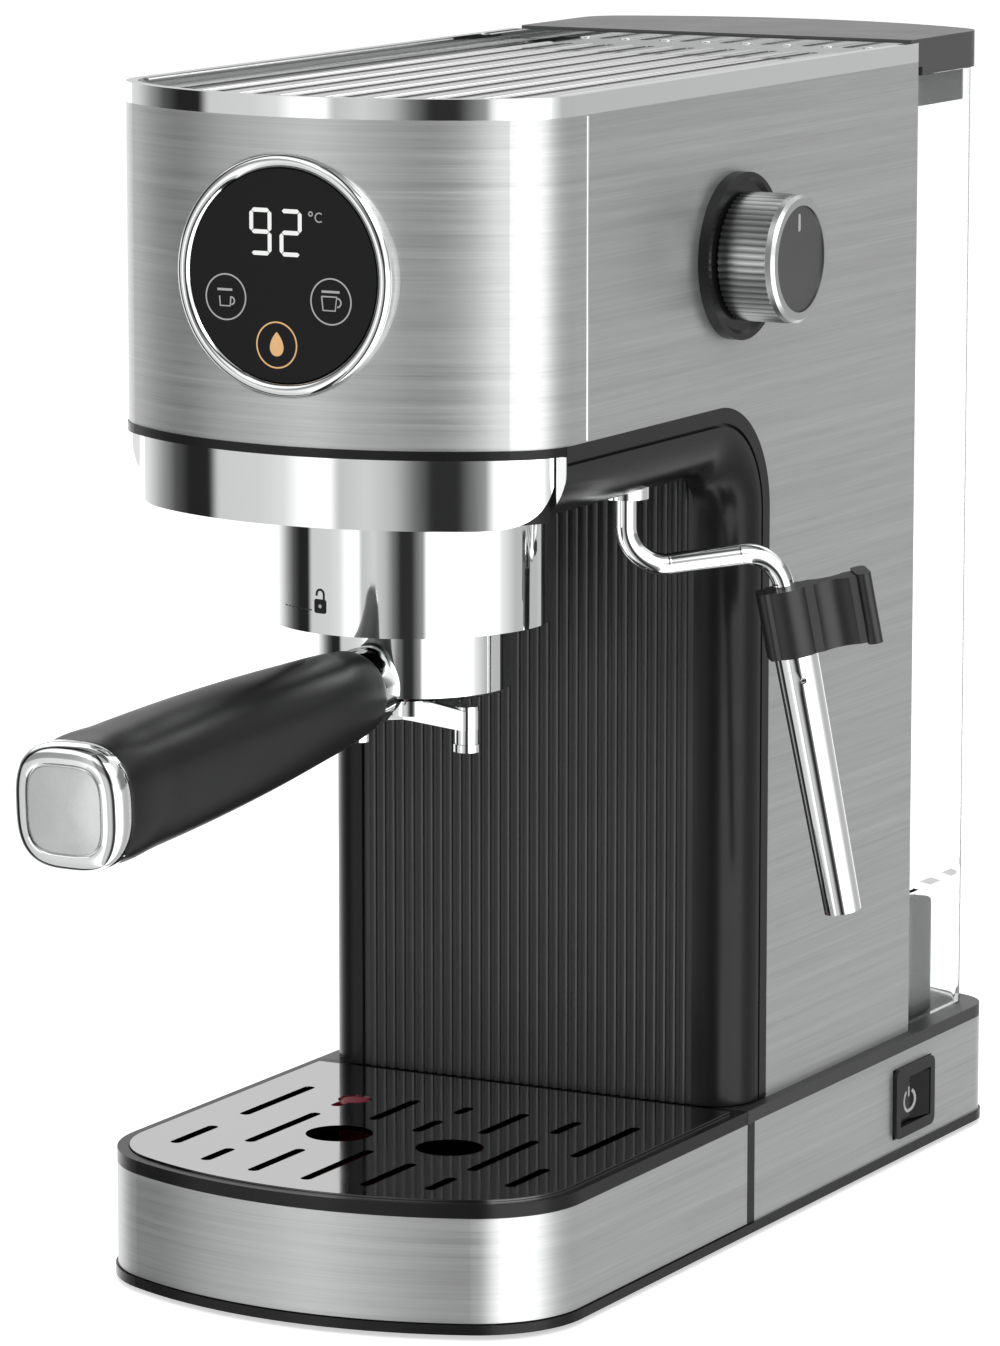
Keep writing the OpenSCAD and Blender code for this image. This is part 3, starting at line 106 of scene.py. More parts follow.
class FinishSettings(PropertyGroup):
    """Colours and strengths of the finishes."""

    steel: FloatVectorProperty(
        name="Brushed steel", description="Colour of the brushed sheets",
        default=(0.57, 0.58, 0.575), **COLOUR)
    chrome: FloatVectorProperty(
        name="Chrome", description="Colour of the polished metal",
        default=(0.84, 0.85, 0.85), **COLOUR)
    black: FloatVectorProperty(
        name="Black plastic", description="Colour of the moulded black parts",
        default=(0.011, 0.011, 0.012), **COLOUR)
    charcoal: FloatVectorProperty(
        name="Charcoal plastic", description="Colour of the ribbed panel and the deck",
        default=(0.024, 0.024, 0.025), **COLOUR)
    grey: FloatVectorProperty(
        name="Grey plastic", description="Colour of the tank's lid and dock",
        default=(0.06, 0.06, 0.061), **COLOUR)
    rubber: FloatVectorProperty(
        name="Rubber", description="Colour of the rubber parts",
        default=(0.012, 0.012, 0.012), **COLOUR)
    tank: FloatVectorProperty(
        name="Clear plastic", description="Tint of the water tank",
        default=(0.97, 0.985, 0.98), **COLOUR)
    glow: FloatVectorProperty(
        name="Display white", description="Light of the digits",
        default=(0.85, 0.86, 0.84), **COLOUR)
    lit: FloatVectorProperty(
        name="Lit key", description="Light of the chosen key",
        default=(0.72, 0.42, 0.18), **COLOUR)
    brush_depth: FloatProperty(
        name="Brush depth", description="Height of the brushed grain", unit="LENGTH",
        min=0, max=0.001, default=0.00006, precision=6)


class MarkSettings(PropertyGroup):
    """Sizes of the display's marks and of the printed symbols."""

    digit_height: FloatProperty(
        name="Digit height", description="Height of a seven-bar digit", unit="LENGTH",
        min=0.005, max=0.02, default=0.0116)
    digit_width: FloatProperty(
        name="Digit width", description="Width of a seven-bar digit", unit="LENGTH",
        min=0.003, max=0.01, default=0.0062)
    bar: FloatProperty(
        name="Bar width", description="Width of a digit's bars", unit="LENGTH",
        min=0.0003, max=0.002, default=0.00105)
    key_radius: FloatProperty(
        name="Key radius", description="Radius of a touch key's ring", unit="LENGTH",
        min=0.003, max=0.008, default=0.0056)
    key_line: FloatProperty(
        name="Key line", description="Width of the keys' fine lines", unit="LENGTH",
        min=0.0001, max=0.001, default=0.00036)
    print_depth: FloatProperty(
        name="Print thickness", description="Thickness of a printed mark", unit="LENGTH",
        min=0.00001, max=0.0003, default=0.00006, precision=5)
    lock_width: FloatProperty(
        name="Lock width", description="Width of the lock symbol's body", unit="LENGTH",
        min=0.002, max=0.008, default=0.0039)
    ring_proud: FloatProperty(
        name="Ring stand", description="How far the display's ring stands proud of the head",
        unit="LENGTH", min=0, max=0.003, default=0.0008, precision=4)
    power_radius: FloatProperty(
        name="Power radius", description="Radius of the power symbol", unit="LENGTH",
        min=0.001, max=0.005, default=0.0030)
    power_line: FloatProperty(
        name="Power line", description="Width of the power symbol's line", unit="LENGTH",
        min=0.0003, max=0.002, default=0.0009)


class GripSettings(PropertyGroup):
    """Sizes of the portafilter's grip."""

    swell: FloatProperty(
        name="Grip thickness", description="Thickness of the grip against its drawn size",
        min=0.9, max=1.02, default=1.0)
    tilt: FloatProperty(
        name="Handle tilt", description="Downward tilt of the handle", subtype="ANGLE",
        min=0, max=0.2, default=math.radians(3))
    axis_height: FloatProperty(
        name="Handle height", description="Height of the handle's line at the group's axis",
        unit="LENGTH", min=0.1, max=0.2, default=0.1564)


class CupPlateSettings(PropertyGroup):
    """Sizes of the cup plate's ribs and of the head's seam strips."""

    rib_width: FloatProperty(
        name="Rib width", description="Width of a rib of the cup plate", unit="LENGTH",
        min=0.001, max=0.008, default=0.0034)
    rib_height: FloatProperty(
        name="Rib height", description="Height of a rib of the cup plate", unit="LENGTH",
        min=0.0001, max=0.0015, default=0.00036, precision=5)
    seam_width: FloatProperty(
        name="Seam width", description="Width of the head's seam strip", unit="LENGTH",
        min=0.0003, max=0.002, default=0.0010, precision=5)
    seam_height: FloatProperty(
        name="Seam height", description="How far the seam strip stands proud", unit="LENGTH",
        min=0.00005, max=0.001, default=0.00024, precision=5)


class StudioSettings(PropertyGroup):
    """Camera and light."""

    azimuth: FloatProperty(
        name="Camera azimuth", description="Camera's turn round the machine", subtype="ANGLE",
        default=math.radians(28.32))
    elevation: FloatProperty(
        name="Camera elevation", description="Camera's angle above the counter",
        subtype="ANGLE", default=math.radians(9.67))
    distance: FloatProperty(
        name="Camera distance", description="Distance from the camera to its target",
        unit="LENGTH", min=0.5, max=5, default=1.741)
    lens: FloatProperty(
        name="Lens", description="Focal length in millimetres", min=20, max=400, default=174.4)
    target: FloatVectorProperty(
        name="Camera target", description="Point that the camera looks at", subtype="XYZ",
        unit="LENGTH", size=3, default=(-0.0177, 0.0, 0.1417))
    floor_size: FloatProperty(
        name="Floor size", description="Width of the floor", unit="LENGTH", min=1, max=20,
        default=14.0)
    world_light: FloatProperty(
        name="World light", description="Strength of the even light from all round",
        min=0, max=2, default=0.55)
    floor_lift: FloatProperty(
        name="Floor lift", description="Light that the floor adds to look white",
        min=0, max=1, default=0.55)


SETTINGS = (
    ("espresso_finish", FinishSettings),
    ("espresso_marks", MarkSettings),
    ("espresso_grips", GripSettings),
    ("espresso_cups", CupPlateSettings),
    ("espresso_studio", StudioSettings),
)


# ------------------------------------------------------------------ meshes


def grid_faces(rows, columns):
    """Quads of a grid of points, row by row, whose columns close on themselves."""
    r = np.arange(rows - 1)[:, None]
    c = np.arange(columns)[None, :]
    d = (c + 1) % columns
    quads = np.stack([r * columns + c, r * columns + d, (r + 1) * columns + d,
                      (r + 1) * columns + c], axis=-1)
    return quads.reshape(-1, 4)


def looped_faces(rows, columns):
    """Quads of a grid whose rows and columns both close on themselves."""
    return grid_faces(rows + 1, columns) % (rows * columns)


def xyz(x, y, z):
    """Points from their three coordinates, each an array or a number."""
    return np.stack(np.broadcast_arrays(x, y, z), axis=-1)


def make_piece(name, shape, body, slot, material=None, crease=None, node=None):
    """A piece from its (points, faces), riding on a body. It has its slot's finish where no
    material is given, and stands in for a solid where a node is given. Its faces are turned
    outwards; it is smooth but for edges sharper than the crease, or flat where that is None."""
    points, faces = shape
    mesh = bpy.data.meshes.new(name)
    mesh.from_pydata(np.asarray(points, float).reshape(-1, 3).tolist(), [],
                     [list(map(int, f)) for f in faces])
    mesh.validate()
    shell = bmesh.new()
    shell.from_mesh(mesh)
    bmesh.ops.recalc_face_normals(shell, faces=shell.faces)
    shell.to_mesh(mesh)
    shell.free()
    mesh.polygons.foreach_set("use_smooth", np.full(len(mesh.polygons), crease is not None))
    if crease is not None:
        mesh.set_sharp_from_angle(angle=crease)
    mesh.materials.append(material or finish_of(slot))
    piece = bpy.data.objects.new(name, mesh)
    bpy.context.scene.collection.objects.link(piece)
    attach(piece, body)
    if node:
        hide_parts(node)


def closed_grid(sections):
    """Points and faces of a tube of sections, with both ends closed by a fan to their middle."""
    rows, columns = sections.shape[:2]
    points = np.concatenate([sections.reshape(-1, 3), sections[0].mean(0)[None],
                             sections[-1].mean(0)[None]])
    first, last = rows * columns, rows * columns + 1
    c = np.arange(columns)
    d = (c + 1) % columns
    start = np.stack([np.full(columns, first), d, c], axis=-1)
    base = (rows - 1) * columns
    end = np.stack([np.full(columns, last), base + c, base + d], axis=-1)
    faces = grid_faces(rows, columns).tolist() + start.tolist() + end.tolist()
    return points, faces


def stroke(path, width, depth, closed=False):
    """A flat line with square edges along a path of (across, up) points: at each point four
    corners, half a width to either side of the path and up to depth in front of it."""
    path = np.asarray(path, float)
    if closed:
        along = np.roll(path, -1, 0) - np.roll(path, 1, 0)
    else:
        along = np.gradient(path, axis=0)
    along /= np.linalg.norm(along, axis=1)[:, None]
    side = np.stack([-along[:, 1], along[:, 0]], axis=-1) * width / 2
    left, right = path + side, path - side
    corners = np.stack([left, left, right, right], axis=1)
    level = np.tile([0.0, depth, depth, 0.0], (len(path), 1))[..., None]
    points = np.concatenate([corners, level], axis=-1).reshape(-1, 3)
    if closed:
        return points, looped_faces(len(path), 4)
    last = 4 * (len(path) - 1)
    ends = [[3, 2, 1, 0], [last, last + 1, last + 2, last + 3]]
    return points, grid_faces(len(path), 4).tolist() + ends


def arc(centre, radius, start, end, count=24):
    """Points on a circle from one angle to another, in degrees."""
    a = np.radians(np.linspace(start, end, count))
    return np.stack([centre[0] + radius * np.cos(a), centre[1] + radius * np.sin(a)], axis=-1)


def loop(centre, radius, count=48):
    """Points on a whole circle, the first not repeated."""
    return arc(centre, radius, 0, 360 * (count - 1) / count, count)


def plate(outline, depth):
    """A flat plate of an outline of (across, up) points, from depth 0 to depth."""
    rows = np.stack([np.concatenate([outline, np.full((len(outline), 1), h)], axis=1)
                     for h in (0.0, depth)])
    return closed_grid(rows)


def squircle(width, height, power, count):
    """Rounded square outline: |2x / width| ^ power + |2y / height| ^ power = 1."""
    a = np.linspace(0, 2 * np.pi, count, endpoint=False)
    c, d = np.cos(a), np.sin(a)
    return np.stack([width / 2 * np.sign(c) * np.abs(c) ** (2 / power),
                     height / 2 * np.sign(d) * np.abs(d) ** (2 / power)], axis=-1)


def eased(stations, count):
    """Rows of a table carried smoothly between its stations: a cubic through neighbouring rows
    whose slope at each row is that of the line between the rows on either side of it."""
    table = np.asarray(stations, float)
    place = table[:, 0]
    slope = np.gradient(table, place, axis=0)
    at = np.unique(np.concatenate([place, np.linspace(place[0], place[-1], count)]))
    i = np.clip(np.searchsorted(place, at, side="right") - 1, 0, len(place) - 2)
    step = (place[i + 1] - place[i])[:, None]
    t = (at - place[i])[:, None] / step
    return (table[i] * (1 + 2 * t) * (1 - t) ** 2 + slope[i] * step * t * (1 - t) ** 2
            + table[i + 1] * t ** 2 * (3 - 2 * t) + slope[i + 1] * step * t ** 2 * (t - 1))


def gather(parts):
    """Joins (points, faces) pairs into one."""
    points, faces, start = [], [], 0
    for p, f in parts:
        points.append(np.asarray(p, float).reshape(-1, 3))
        faces += [[int(i) + start for i in face] for face in f]
        start += len(points[-1])
    return np.concatenate(points), faces


# ------------------------------------------------------------------ nodes


def feed(tree, node, inputs):
    """Feeds a node's inputs, given by name or number: a socket is linked, any other value is
    set, and a colour gets its alpha."""
    for label, value in inputs.items():
        socket = node.inputs[label]
        if isinstance(value, bpy.types.NodeSocket):
            tree.links.new(value, socket)
        elif socket.type == "RGBA":
            socket.default_value = (*value, 1.0)
        else:
            socket.default_value = value


def add_node(tree, kind, inputs, **settings):
    """A new node of a tree, set and fed."""
    node = tree.nodes.new("ShaderNode" + kind)
    for label, value in settings.items():
        setattr(node, label, value)
    feed(tree, node, inputs)
    return node


def work_out(tree, operation, *values):
    """Result of a Math node on sockets or numbers."""
    return add_node(tree, "Math", dict(enumerate(values)), operation=operation).outputs[0]


def work_out_vector(tree, operation, *values):
    """Result of a Vector Math node on sockets or vectors."""
    return add_node(tree, "VectorMath", dict(enumerate(values)), operation=operation).outputs[0]


def scaled(tree, vector, factor):
    """A vector or colour times a factor."""
    return add_node(tree, "VectorMath", {0: vector, "Scale": factor}, operation="SCALE").outputs[0]


def noise(tree, vector, scale, detail, roughness=0.5):
    """Value of a noise texture."""
    return add_node(tree, "TexNoise", {"Vector": vector, "Scale": scale, "Detail": detail,
                                       "Roughness": roughness}).outputs["Fac"]


# Sockets of the groups that don't carry a plain number
SOCKET_KINDS = {"Vector": "NodeSocketVector", "Centre": "NodeSocketVector",
                "Colour": "NodeSocketColor"}


def new_group(name, inputs, outputs):
    """An empty shader group with its named sockets; returns the group and what comes in."""
    group = bpy.data.node_groups.new(name, "ShaderNodeTree")
    for way, labels in (("INPUT", inputs), ("OUTPUT", outputs)):
        for label in labels:
            kind = SOCKET_KINDS.get(label, "NodeSocketFloat")
            group.interface.new_socket(label, in_out=way, socket_type=kind)
    return group, group.nodes.new("NodeGroupInput").outputs


def put_out(group, **values):
    """Feeds the outputs of a group and returns it."""
    feed(group, group.nodes.new("NodeGroupOutput"), values)
    return group


def brush_group(name):
    """Brushed grain: noise drawn out along the sheet, in fine streaks over broad ones."""
    group, given = new_group(name, ("Vector", "Along", "Across", "Contrast"),
                             ("Streak", "Height"))
    stretch = add_node(group, "CombineXYZ", {"X": given["Along"], "Y": given["Along"],
                                             "Z": given["Across"]})
    vector = work_out_vector(group, "MULTIPLY", given["Vector"], stretch.outputs["Vector"])
    fine = noise(group, vector, scale=1.0, detail=3.0, roughness=0.65)
    broad = noise(group, vector, scale=0.22, detail=2.0)
    fine_share = 0.55
    blend = work_out(group, "MULTIPLY_ADD", broad, 1 - fine_share,
                     work_out(group, "MULTIPLY", fine, fine_share))
    centred = work_out(group, "SUBTRACT", blend, 0.5)
    streak = work_out(group, "MULTIPLY", centred, given["Contrast"])
    return put_out(group, Streak=streak, Height=fine)


def haze_group(name):
    """Slow cloudy change between two values, as on handled surfaces."""
    group, given = new_group(name, ("Vector", "Scale", "Low", "High"), ("Value",))
    cloud = noise(group, given["Vector"], given["Scale"], detail=4.0)
    spread = add_node(group, "MapRange", {"Value": cloud, "From Min": 0.3, "From Max": 0.7,
                                          "To Min": given["Low"], "To Max": given["High"]})
    return put_out(group, Value=spread.outputs["Result"])


def grain_group(name):
    """Moulded grain: fine even noise as a height, and a small change of shade."""
    group, given = new_group(name, ("Vector", "Scale", "Colour", "Shade"),
                             ("Height", "Colour"))
    grain = noise(group, given["Vector"], given["Scale"], detail=2.0)
    darkest = 0.95
    shade = work_out(group, "MULTIPLY_ADD", grain, given["Shade"], darkest)
    return put_out(group, Height=grain, Colour=scaled(group, given["Colour"], shade))


def flute_group(name):
    """Painted shade in the flutes of a knob that turns about X: dark where the distance from its
    axis falls short of the knob's radius, and none on the rim in front of the flutes."""
    group, given = new_group(
        name, ("Vector", "Centre", "Inner", "Outer", "Front", "Shade"), ("Mask",))
    offset = work_out_vector(group, "SUBTRACT", given["Vector"], given["Centre"])
    flat = work_out_vector(group, "MULTIPLY", offset, (0.0, 1.0, 1.0))
    radius = add_node(group, "VectorMath", {0: flat}, operation="LENGTH").outputs["Value"]
    depth = add_node(group, "MapRange", {"Value": radius, "From Min": given["Inner"],
                                         "From Max": given["Outer"], "To Min": given["Shade"]})
    split = add_node(group, "SeparateXYZ", {"Vector": given["Vector"]})
    rim = work_out(group, "GREATER_THAN", split.outputs["X"], given["Front"])
    return put_out(group, Mask=work_out(group, "MAXIMUM", depth.outputs["Result"], rim))


GROUPS = {"Brushed Streaks": brush_group, "Handling Haze": haze_group,
          "Moulded Grain": grain_group, "Flute Shade": flute_group}


def place_group(tree, name, vector, **values):
    """Puts a shared group into a tree, made on its first use, and feeds it; returns what it
    puts out."""
    group = bpy.data.node_groups.get(name) or GROUPS[name](name)
    return add_node(tree, "Group", {"Vector": vector, **values}, node_tree=group).outputs


# ------------------------------------------------------------------ materials


def new_material(name, **constants):
    """A material, its node tree, its Principled shader and an Object coordinate; constants go
    straight to the shader's sockets."""
    material = bpy.data.materials.new(name)
    material.use_nodes = True
    tree = material.node_tree
    shader = tree.nodes["Principled BSDF"]
    feed(tree, shader, {label.replace("_", " "): value for label, value in constants.items()})
    return material, tree, shader, add_node(tree, "TexCoord", {}).outputs["Object"]


def haze(tree, vector, low, high, scale):
    """A roughness that changes slowly between two values."""
    return place_group(tree, "Handling Haze", vector, Scale=scale, Low=low, High=high)["Value"]


def relief(tree, height, depth, strength=1.0):
    """Normal of a height that stands up by a depth."""
    bump = add_node(tree, "Bump", {"Height": height, "Distance": depth, "Strength": strength})
    return bump.outputs["Normal"]


def brushed(name, colour, depth, along=26.0, across=2400.0, rough=0.43, contrast=0.75,
            stretch=0.6):
    """Brushed sheet: streaks change its roughness and shade, and stand up as fine relief. Its
    reflections are drawn out upright, across the level strokes of the brush."""
    material, tree, shader, vector = new_material(
        name, Metallic=0.8, Anisotropic=stretch, Anisotropic_Rotation=0.25)
    streaks = place_group(tree, "Brushed Streaks", vector, Along=along, Across=across,
                          Contrast=contrast)
    gloss_change, relief_strength = 0.35, 0.35
    shade = work_out(tree, "ADD", streaks["Streak"], 1.0)
    feed(tree, shader, {
        "Roughness": work_out(tree, "MULTIPLY_ADD", streaks["Streak"], gloss_change, rough),
        "Base Color": scaled(tree, colour, shade),
        "Normal": relief(tree, streaks["Height"], depth, relief_strength)})
    return material


def polished(name, colour, low=0.03, high=0.07):
    """Polished metal whose gloss changes slowly where it is wiped and handled."""
    material, tree, shader, vector = new_material(name, Metallic=1.0, Base_Color=colour)
    feed(tree, shader, {"Roughness": haze(tree, vector, low, high, scale=30.0)})
    return material


def fluted(name, colour, node):
    """Satin metal of a fluted knob, with painted shade in its flutes."""
    material, tree, shader, vector = new_material(name, Metallic=1.0, Roughness=0.28)
    shade = place_group(tree, "Flute Shade", vector, Centre=node_centre(node), Inner=0.0158,
                        Outer=0.0165, Front=0.0780, Shade=0.15)
    # The flutes' mask darkens the base colour: painted shade in the recesses
    feed(tree, shader, {"Base Color": scaled(tree, colour, shade["Mask"])})
    return material


def moulded(name, colour, low, high, grain=1800.0, depth=0.00001, shade=0.15, **constants):
    """Moulded plastic or rubber: fine grain in relief and shade, and a slow change of gloss."""
    material, tree, shader, vector = new_material(name, **constants)
    fine = place_group(tree, "Moulded Grain", vector, Scale=grain, Colour=colour, Shade=shade)
    feed(tree, shader, {"Base Color": fine["Colour"],
                        "Roughness": haze(tree, vector, low, high, scale=45.0),
                        "Normal": relief(tree, fine["Height"], depth)})
    return material


def clear(name, colour):
    """Clear moulded plastic, with a faint change of gloss from handling."""
    material, tree, shader, vector = new_material(
        name, Base_Color=colour, Transmission_Weight=1.0, IOR=1.1, Specular_IOR_Level=0.5)
    feed(tree, shader, {"Roughness": haze(tree, vector, 0.0, 0.006, scale=25.0)})
    return material


def glowing(name, colour):
    """Light of a mark on the display, a little uneven as such segments are."""
    material, tree, shader, vector = new_material(
        name, Base_Color=(0.02, 0.02, 0.02), Roughness=0.5, Emission_Strength=1.0)
    glow = place_group(tree, "Moulded Grain", vector, Scale=400.0, Colour=colour, Shade=0.1)
    feed(tree, shader, {"Emission Color": glow["Colour"]})
    return material


def finishes():
    """Every finish of the machine by its slot in the record, and the two that a single piece
    has to itself."""
    look = bpy.context.scene.espresso_finish
    steel, chrome, black = look.steel, look.chrome, look.black
    return {
        "brushed_steel": brushed("Brushed steel", steel, look.brush_depth),
        "knob_metal": brushed("Satin knob metal", steel, look.brush_depth, across=900.0,
                              along=900.0, rough=0.24, contrast=0.2),
        "knob_flutes": fluted("Fluted knob", steel, "steam_knob"),
        "display_land": brushed("Display land", steel, look.brush_depth, stretch=0.0),
        "chrome": polished("Polished chrome", chrome),
        "mirror_steel": polished("Mirror steel", (0.76, 0.76, 0.76), 0.04, 0.09),
        "black_plastic": moulded("Black plastic", black, 0.2, 0.28, Specular_IOR_Level=0.2),
        "charcoal_plastic": moulded("Charcoal plastic", look.charcoal, 0.38, 0.46),
        "grey_plastic": moulded("Grey plastic", look.grey, 0.4, 0.5),
        "light_plastic": moulded("Light plastic", (0.5, 0.51, 0.52), 0.35, 0.45),
        "rubber": moulded("Rubber", look.rubber, 0.34, 0.42, grain=2600.0),
        "silicone": moulded("Silicone", (0.6, 0.59, 0.56), 0.45, 0.55),
        "knob_inset": moulded("Knob face", (0.06, 0.06, 0.062), 0.35, 0.42),
        "float_red": moulded("Float red", (0.16, 0.008, 0.02), 0.3, 0.4),
        "aluminium": moulded("Cast aluminium", (0.55, 0.56, 0.57), 0.35, 0.5, grain=700.0,
                             depth=0.00004, Metallic=1.0),
        "brass": polished("Turned brass", (0.6, 0.42, 0.18), 0.2, 0.3),
        "copper": polished("Drawn copper", (0.6, 0.28, 0.15), 0.2, 0.3),
        "pump_body": moulded("Pump body", (0.07, 0.07, 0.08), 0.4, 0.5),
        "board": moulded("Circuit board", (0.02, 0.1, 0.045), 0.3, 0.4, grain=900.0,
                         shade=0.4),
        "dark_glass": moulded("Dark glass", (0.006, 0.006, 0.0065), 0.03, 0.06, shade=0.0,
                              depth=0.000001, Specular_IOR_Level=0.15),
        "grip_black": moulded("Grip black", black, 0.3, 0.38, grain=2400.0,
                              Specular_IOR_Level=0.3),
        "clear_plastic": clear("Clear plastic", look.tank),
    }


def finish_of(slot):
    """The finish of one slot, from what the finish operator made."""
    return bpy.data.materials[bpy.context.scene["espresso_slots"][slot]]


# ------------------------------------------------------------------ operators


class EspressoOperator:
    """What the operators share."""

    bl_options = {"REGISTER", "UNDO"}


class ESPRESSO_OT_finish(EspressoOperator, Operator):
    """Gives every solid of the machine its finish"""

    bl_idname = "espresso.finish"
    bl_label = "Finish the solids"

    # Solids whose finish isn't that of their slot
    own = {"steam_knob": "knob_flutes"}

    def execute(self, context):
        made = finishes()
        context.scene["espresso_slots"] = {slot: m.name for slot, m in made.items()}
        for part in frame["record"]["subparts"]:
            mesh = frame["nodes"][part["node"]].data
            mesh.materials.clear()
            mesh.materials.append(made[self.own.get(part["node"], part["material_slot"])])
        return {"FINISHED"}


def on_glass(points):
    """Marks of the display: across runs along X, up along Z, depth out of the glass."""
    low, _ = node_box("display_glass")
    centre = node_centre("display_ring")
    return xyz(centre[0] + points[:, 0], low[1] - SKIN - points[:, 2], centre[2] + points[:, 1])


# Bars of a seven-bar digit as (from, to) in units of its half width and half height, and the
# gap at a bar's ends as a share of its width
BARS = {
    "top": ((-1, 1), (1, 1)), "middle": ((-1, 0), (1, 0)), "bottom": ((-1, -1), (1, -1)),
    "upper left": ((-1, 1), (-1, 0)), "upper right": ((1, 1), (1, 0)),
    "lower left": ((-1, 0), (-1, -1)), "lower right": ((1, 0), (1, -1)),
}
BAR_GAP = 0.12
DIGITS = {
    9: ("top", "middle", "bottom", "upper left", "upper right", "lower right"),
    2: ("top", "middle", "bottom", "upper right", "lower left"),
}


def bar_shape(start, end, width, gap, depth):
    """One bar with pointed ends: a hexagon from start to end, short of them by a gap."""
    along = (end - start) / np.linalg.norm(end - start)
    side = np.array([-along[1], along[0]]) * width / 2
    tip, back = along * gap, along * (gap + width / 2)
    outline = np.array([start + tip, start + back + side, end - back + side, end - tip,
                        end - back - side, start + back - side])
    return plate(outline, depth)


def digit(number, centre, size):
    """The bars of one digit round a centre."""
    half = np.array([size.digit_width - size.bar, size.digit_height - size.bar]) / 2
    gap = size.bar * BAR_GAP
    return [bar_shape(centre + half * a, centre + half * b, size.bar, gap, size.print_depth)
            for a, b in (BARS[bar] for bar in DIGITS[number])]


class ESPRESSO_OT_display(EspressoOperator, Operator):
    """Draws the lit digits and the touch keys on the display's glass"""

    bl_idname = "espresso.display"
    bl_label = "Light the display"

    # Light of the unlit keys as a share of the digits' light
    dimmed = 0.42

    # Digits with their places across, and their height above the display's middle
    digit_places = ((9, -0.0062), (2, 0.0023))
    digit_level = 0.0106

    # Degree sign: its circle, the arc of its letter, and their line
    circle = ((0.0079, 0.0155), 0.0005)
    letter = ((0.0103, 0.0147), 0.0011, 50, 310)
    degree_line = 0.0003
    key_places = {"small_cup": (-0.0161, -0.0059), "large_cup": (0.0135, -0.0056),
                  "steam": (-0.0018, -0.0170)}

    # Outline of each cup, centre and radius of its handle, and the spout bar above it
    cups = {
        "small_cup": (((-0.0018, 0.0002), (-0.0016, -0.0022), (0.0012, -0.0022),
                       (0.0014, 0.0002)),
                      (0.0015, -0.0009), 0.0009, ((-0.0024, 0.0018), (0.0018, 0.0018))),
        "large_cup": (((-0.0026, 0.0012), (-0.0022, -0.0022), (0.0012, -0.0022),
                       (0.0016, 0.0012), (-0.0026, 0.0012)),
                      (0.0017, -0.0002), 0.0011, ((-0.0026, 0.0024), (0.0024, 0.0024))),
    }

    # Width of the spout bar against the keys' fine lines
    spout_share = 1.6

    # Drop of the steam key: half width, half height and rise
    drop = (0.0024, 0.0030, 0.0002)

    def execute(self, context):
        size, look = context.scene.espresso_marks, context.scene.espresso_finish
        depth = size.print_depth
        glow = glowing("Display white", look.glow)
        dim = glowing("Display grey", [self.dimmed * c for c in look.glow])
        lit = glowing("Display amber", look.lit)
        digits = [bar for number, across in self.digit_places
                  for bar in digit(number, np.array([across, self.digit_level]), size)]
        self.add("display_digits", digits, glow)
        self.add("display_degree", [stroke(loop(*self.circle), self.degree_line, depth, True),
                                    stroke(arc(*self.letter), self.degree_line, depth)], dim)
        for key, place in self.key_places.items():
            centre = np.array(place)
            ring = stroke(loop(centre, size.key_radius), size.key_line, depth, True)
            if key in self.cups:
                parts, light = self.cup(centre, size, *self.cups[key]), dim
            else:
                parts, light = [self.steam(centre, depth)], lit
            self.add("display_key_" + key, [ring] + parts, light)
        return {"FINISHED"}

    def add(self, name, parts, material):
        """One mark on the display's glass."""
        points, faces = gather(parts)
        make_piece(name, (on_glass(points), faces), "machine", "dark_glass", material)

    def cup(self, centre, size, outline, handle, radius, bar):
        """A cup under a spout bar."""
        line, depth = size.key_line, size.print_depth
        return [stroke(centre + outline, line, depth),
                stroke(arc(centre + handle, radius, 90, -90, count=12), line, depth),
                stroke(centre + bar, line * self.spout_share, depth)]

    def steam(self, centre, depth):
        """A drop: it goes across by sin(a) * sin(a / 2) ^ 0.8 and up by cos(a)."""
        width, height, rise = self.drop
        a = np.radians(np.linspace(0, 345, 24))
        drop = np.stack([width * np.sin(a) * np.sin(a / 2) ** 0.8, height * np.cos(a) + rise],
                        axis=-1)
        return plate(centre + drop, depth)


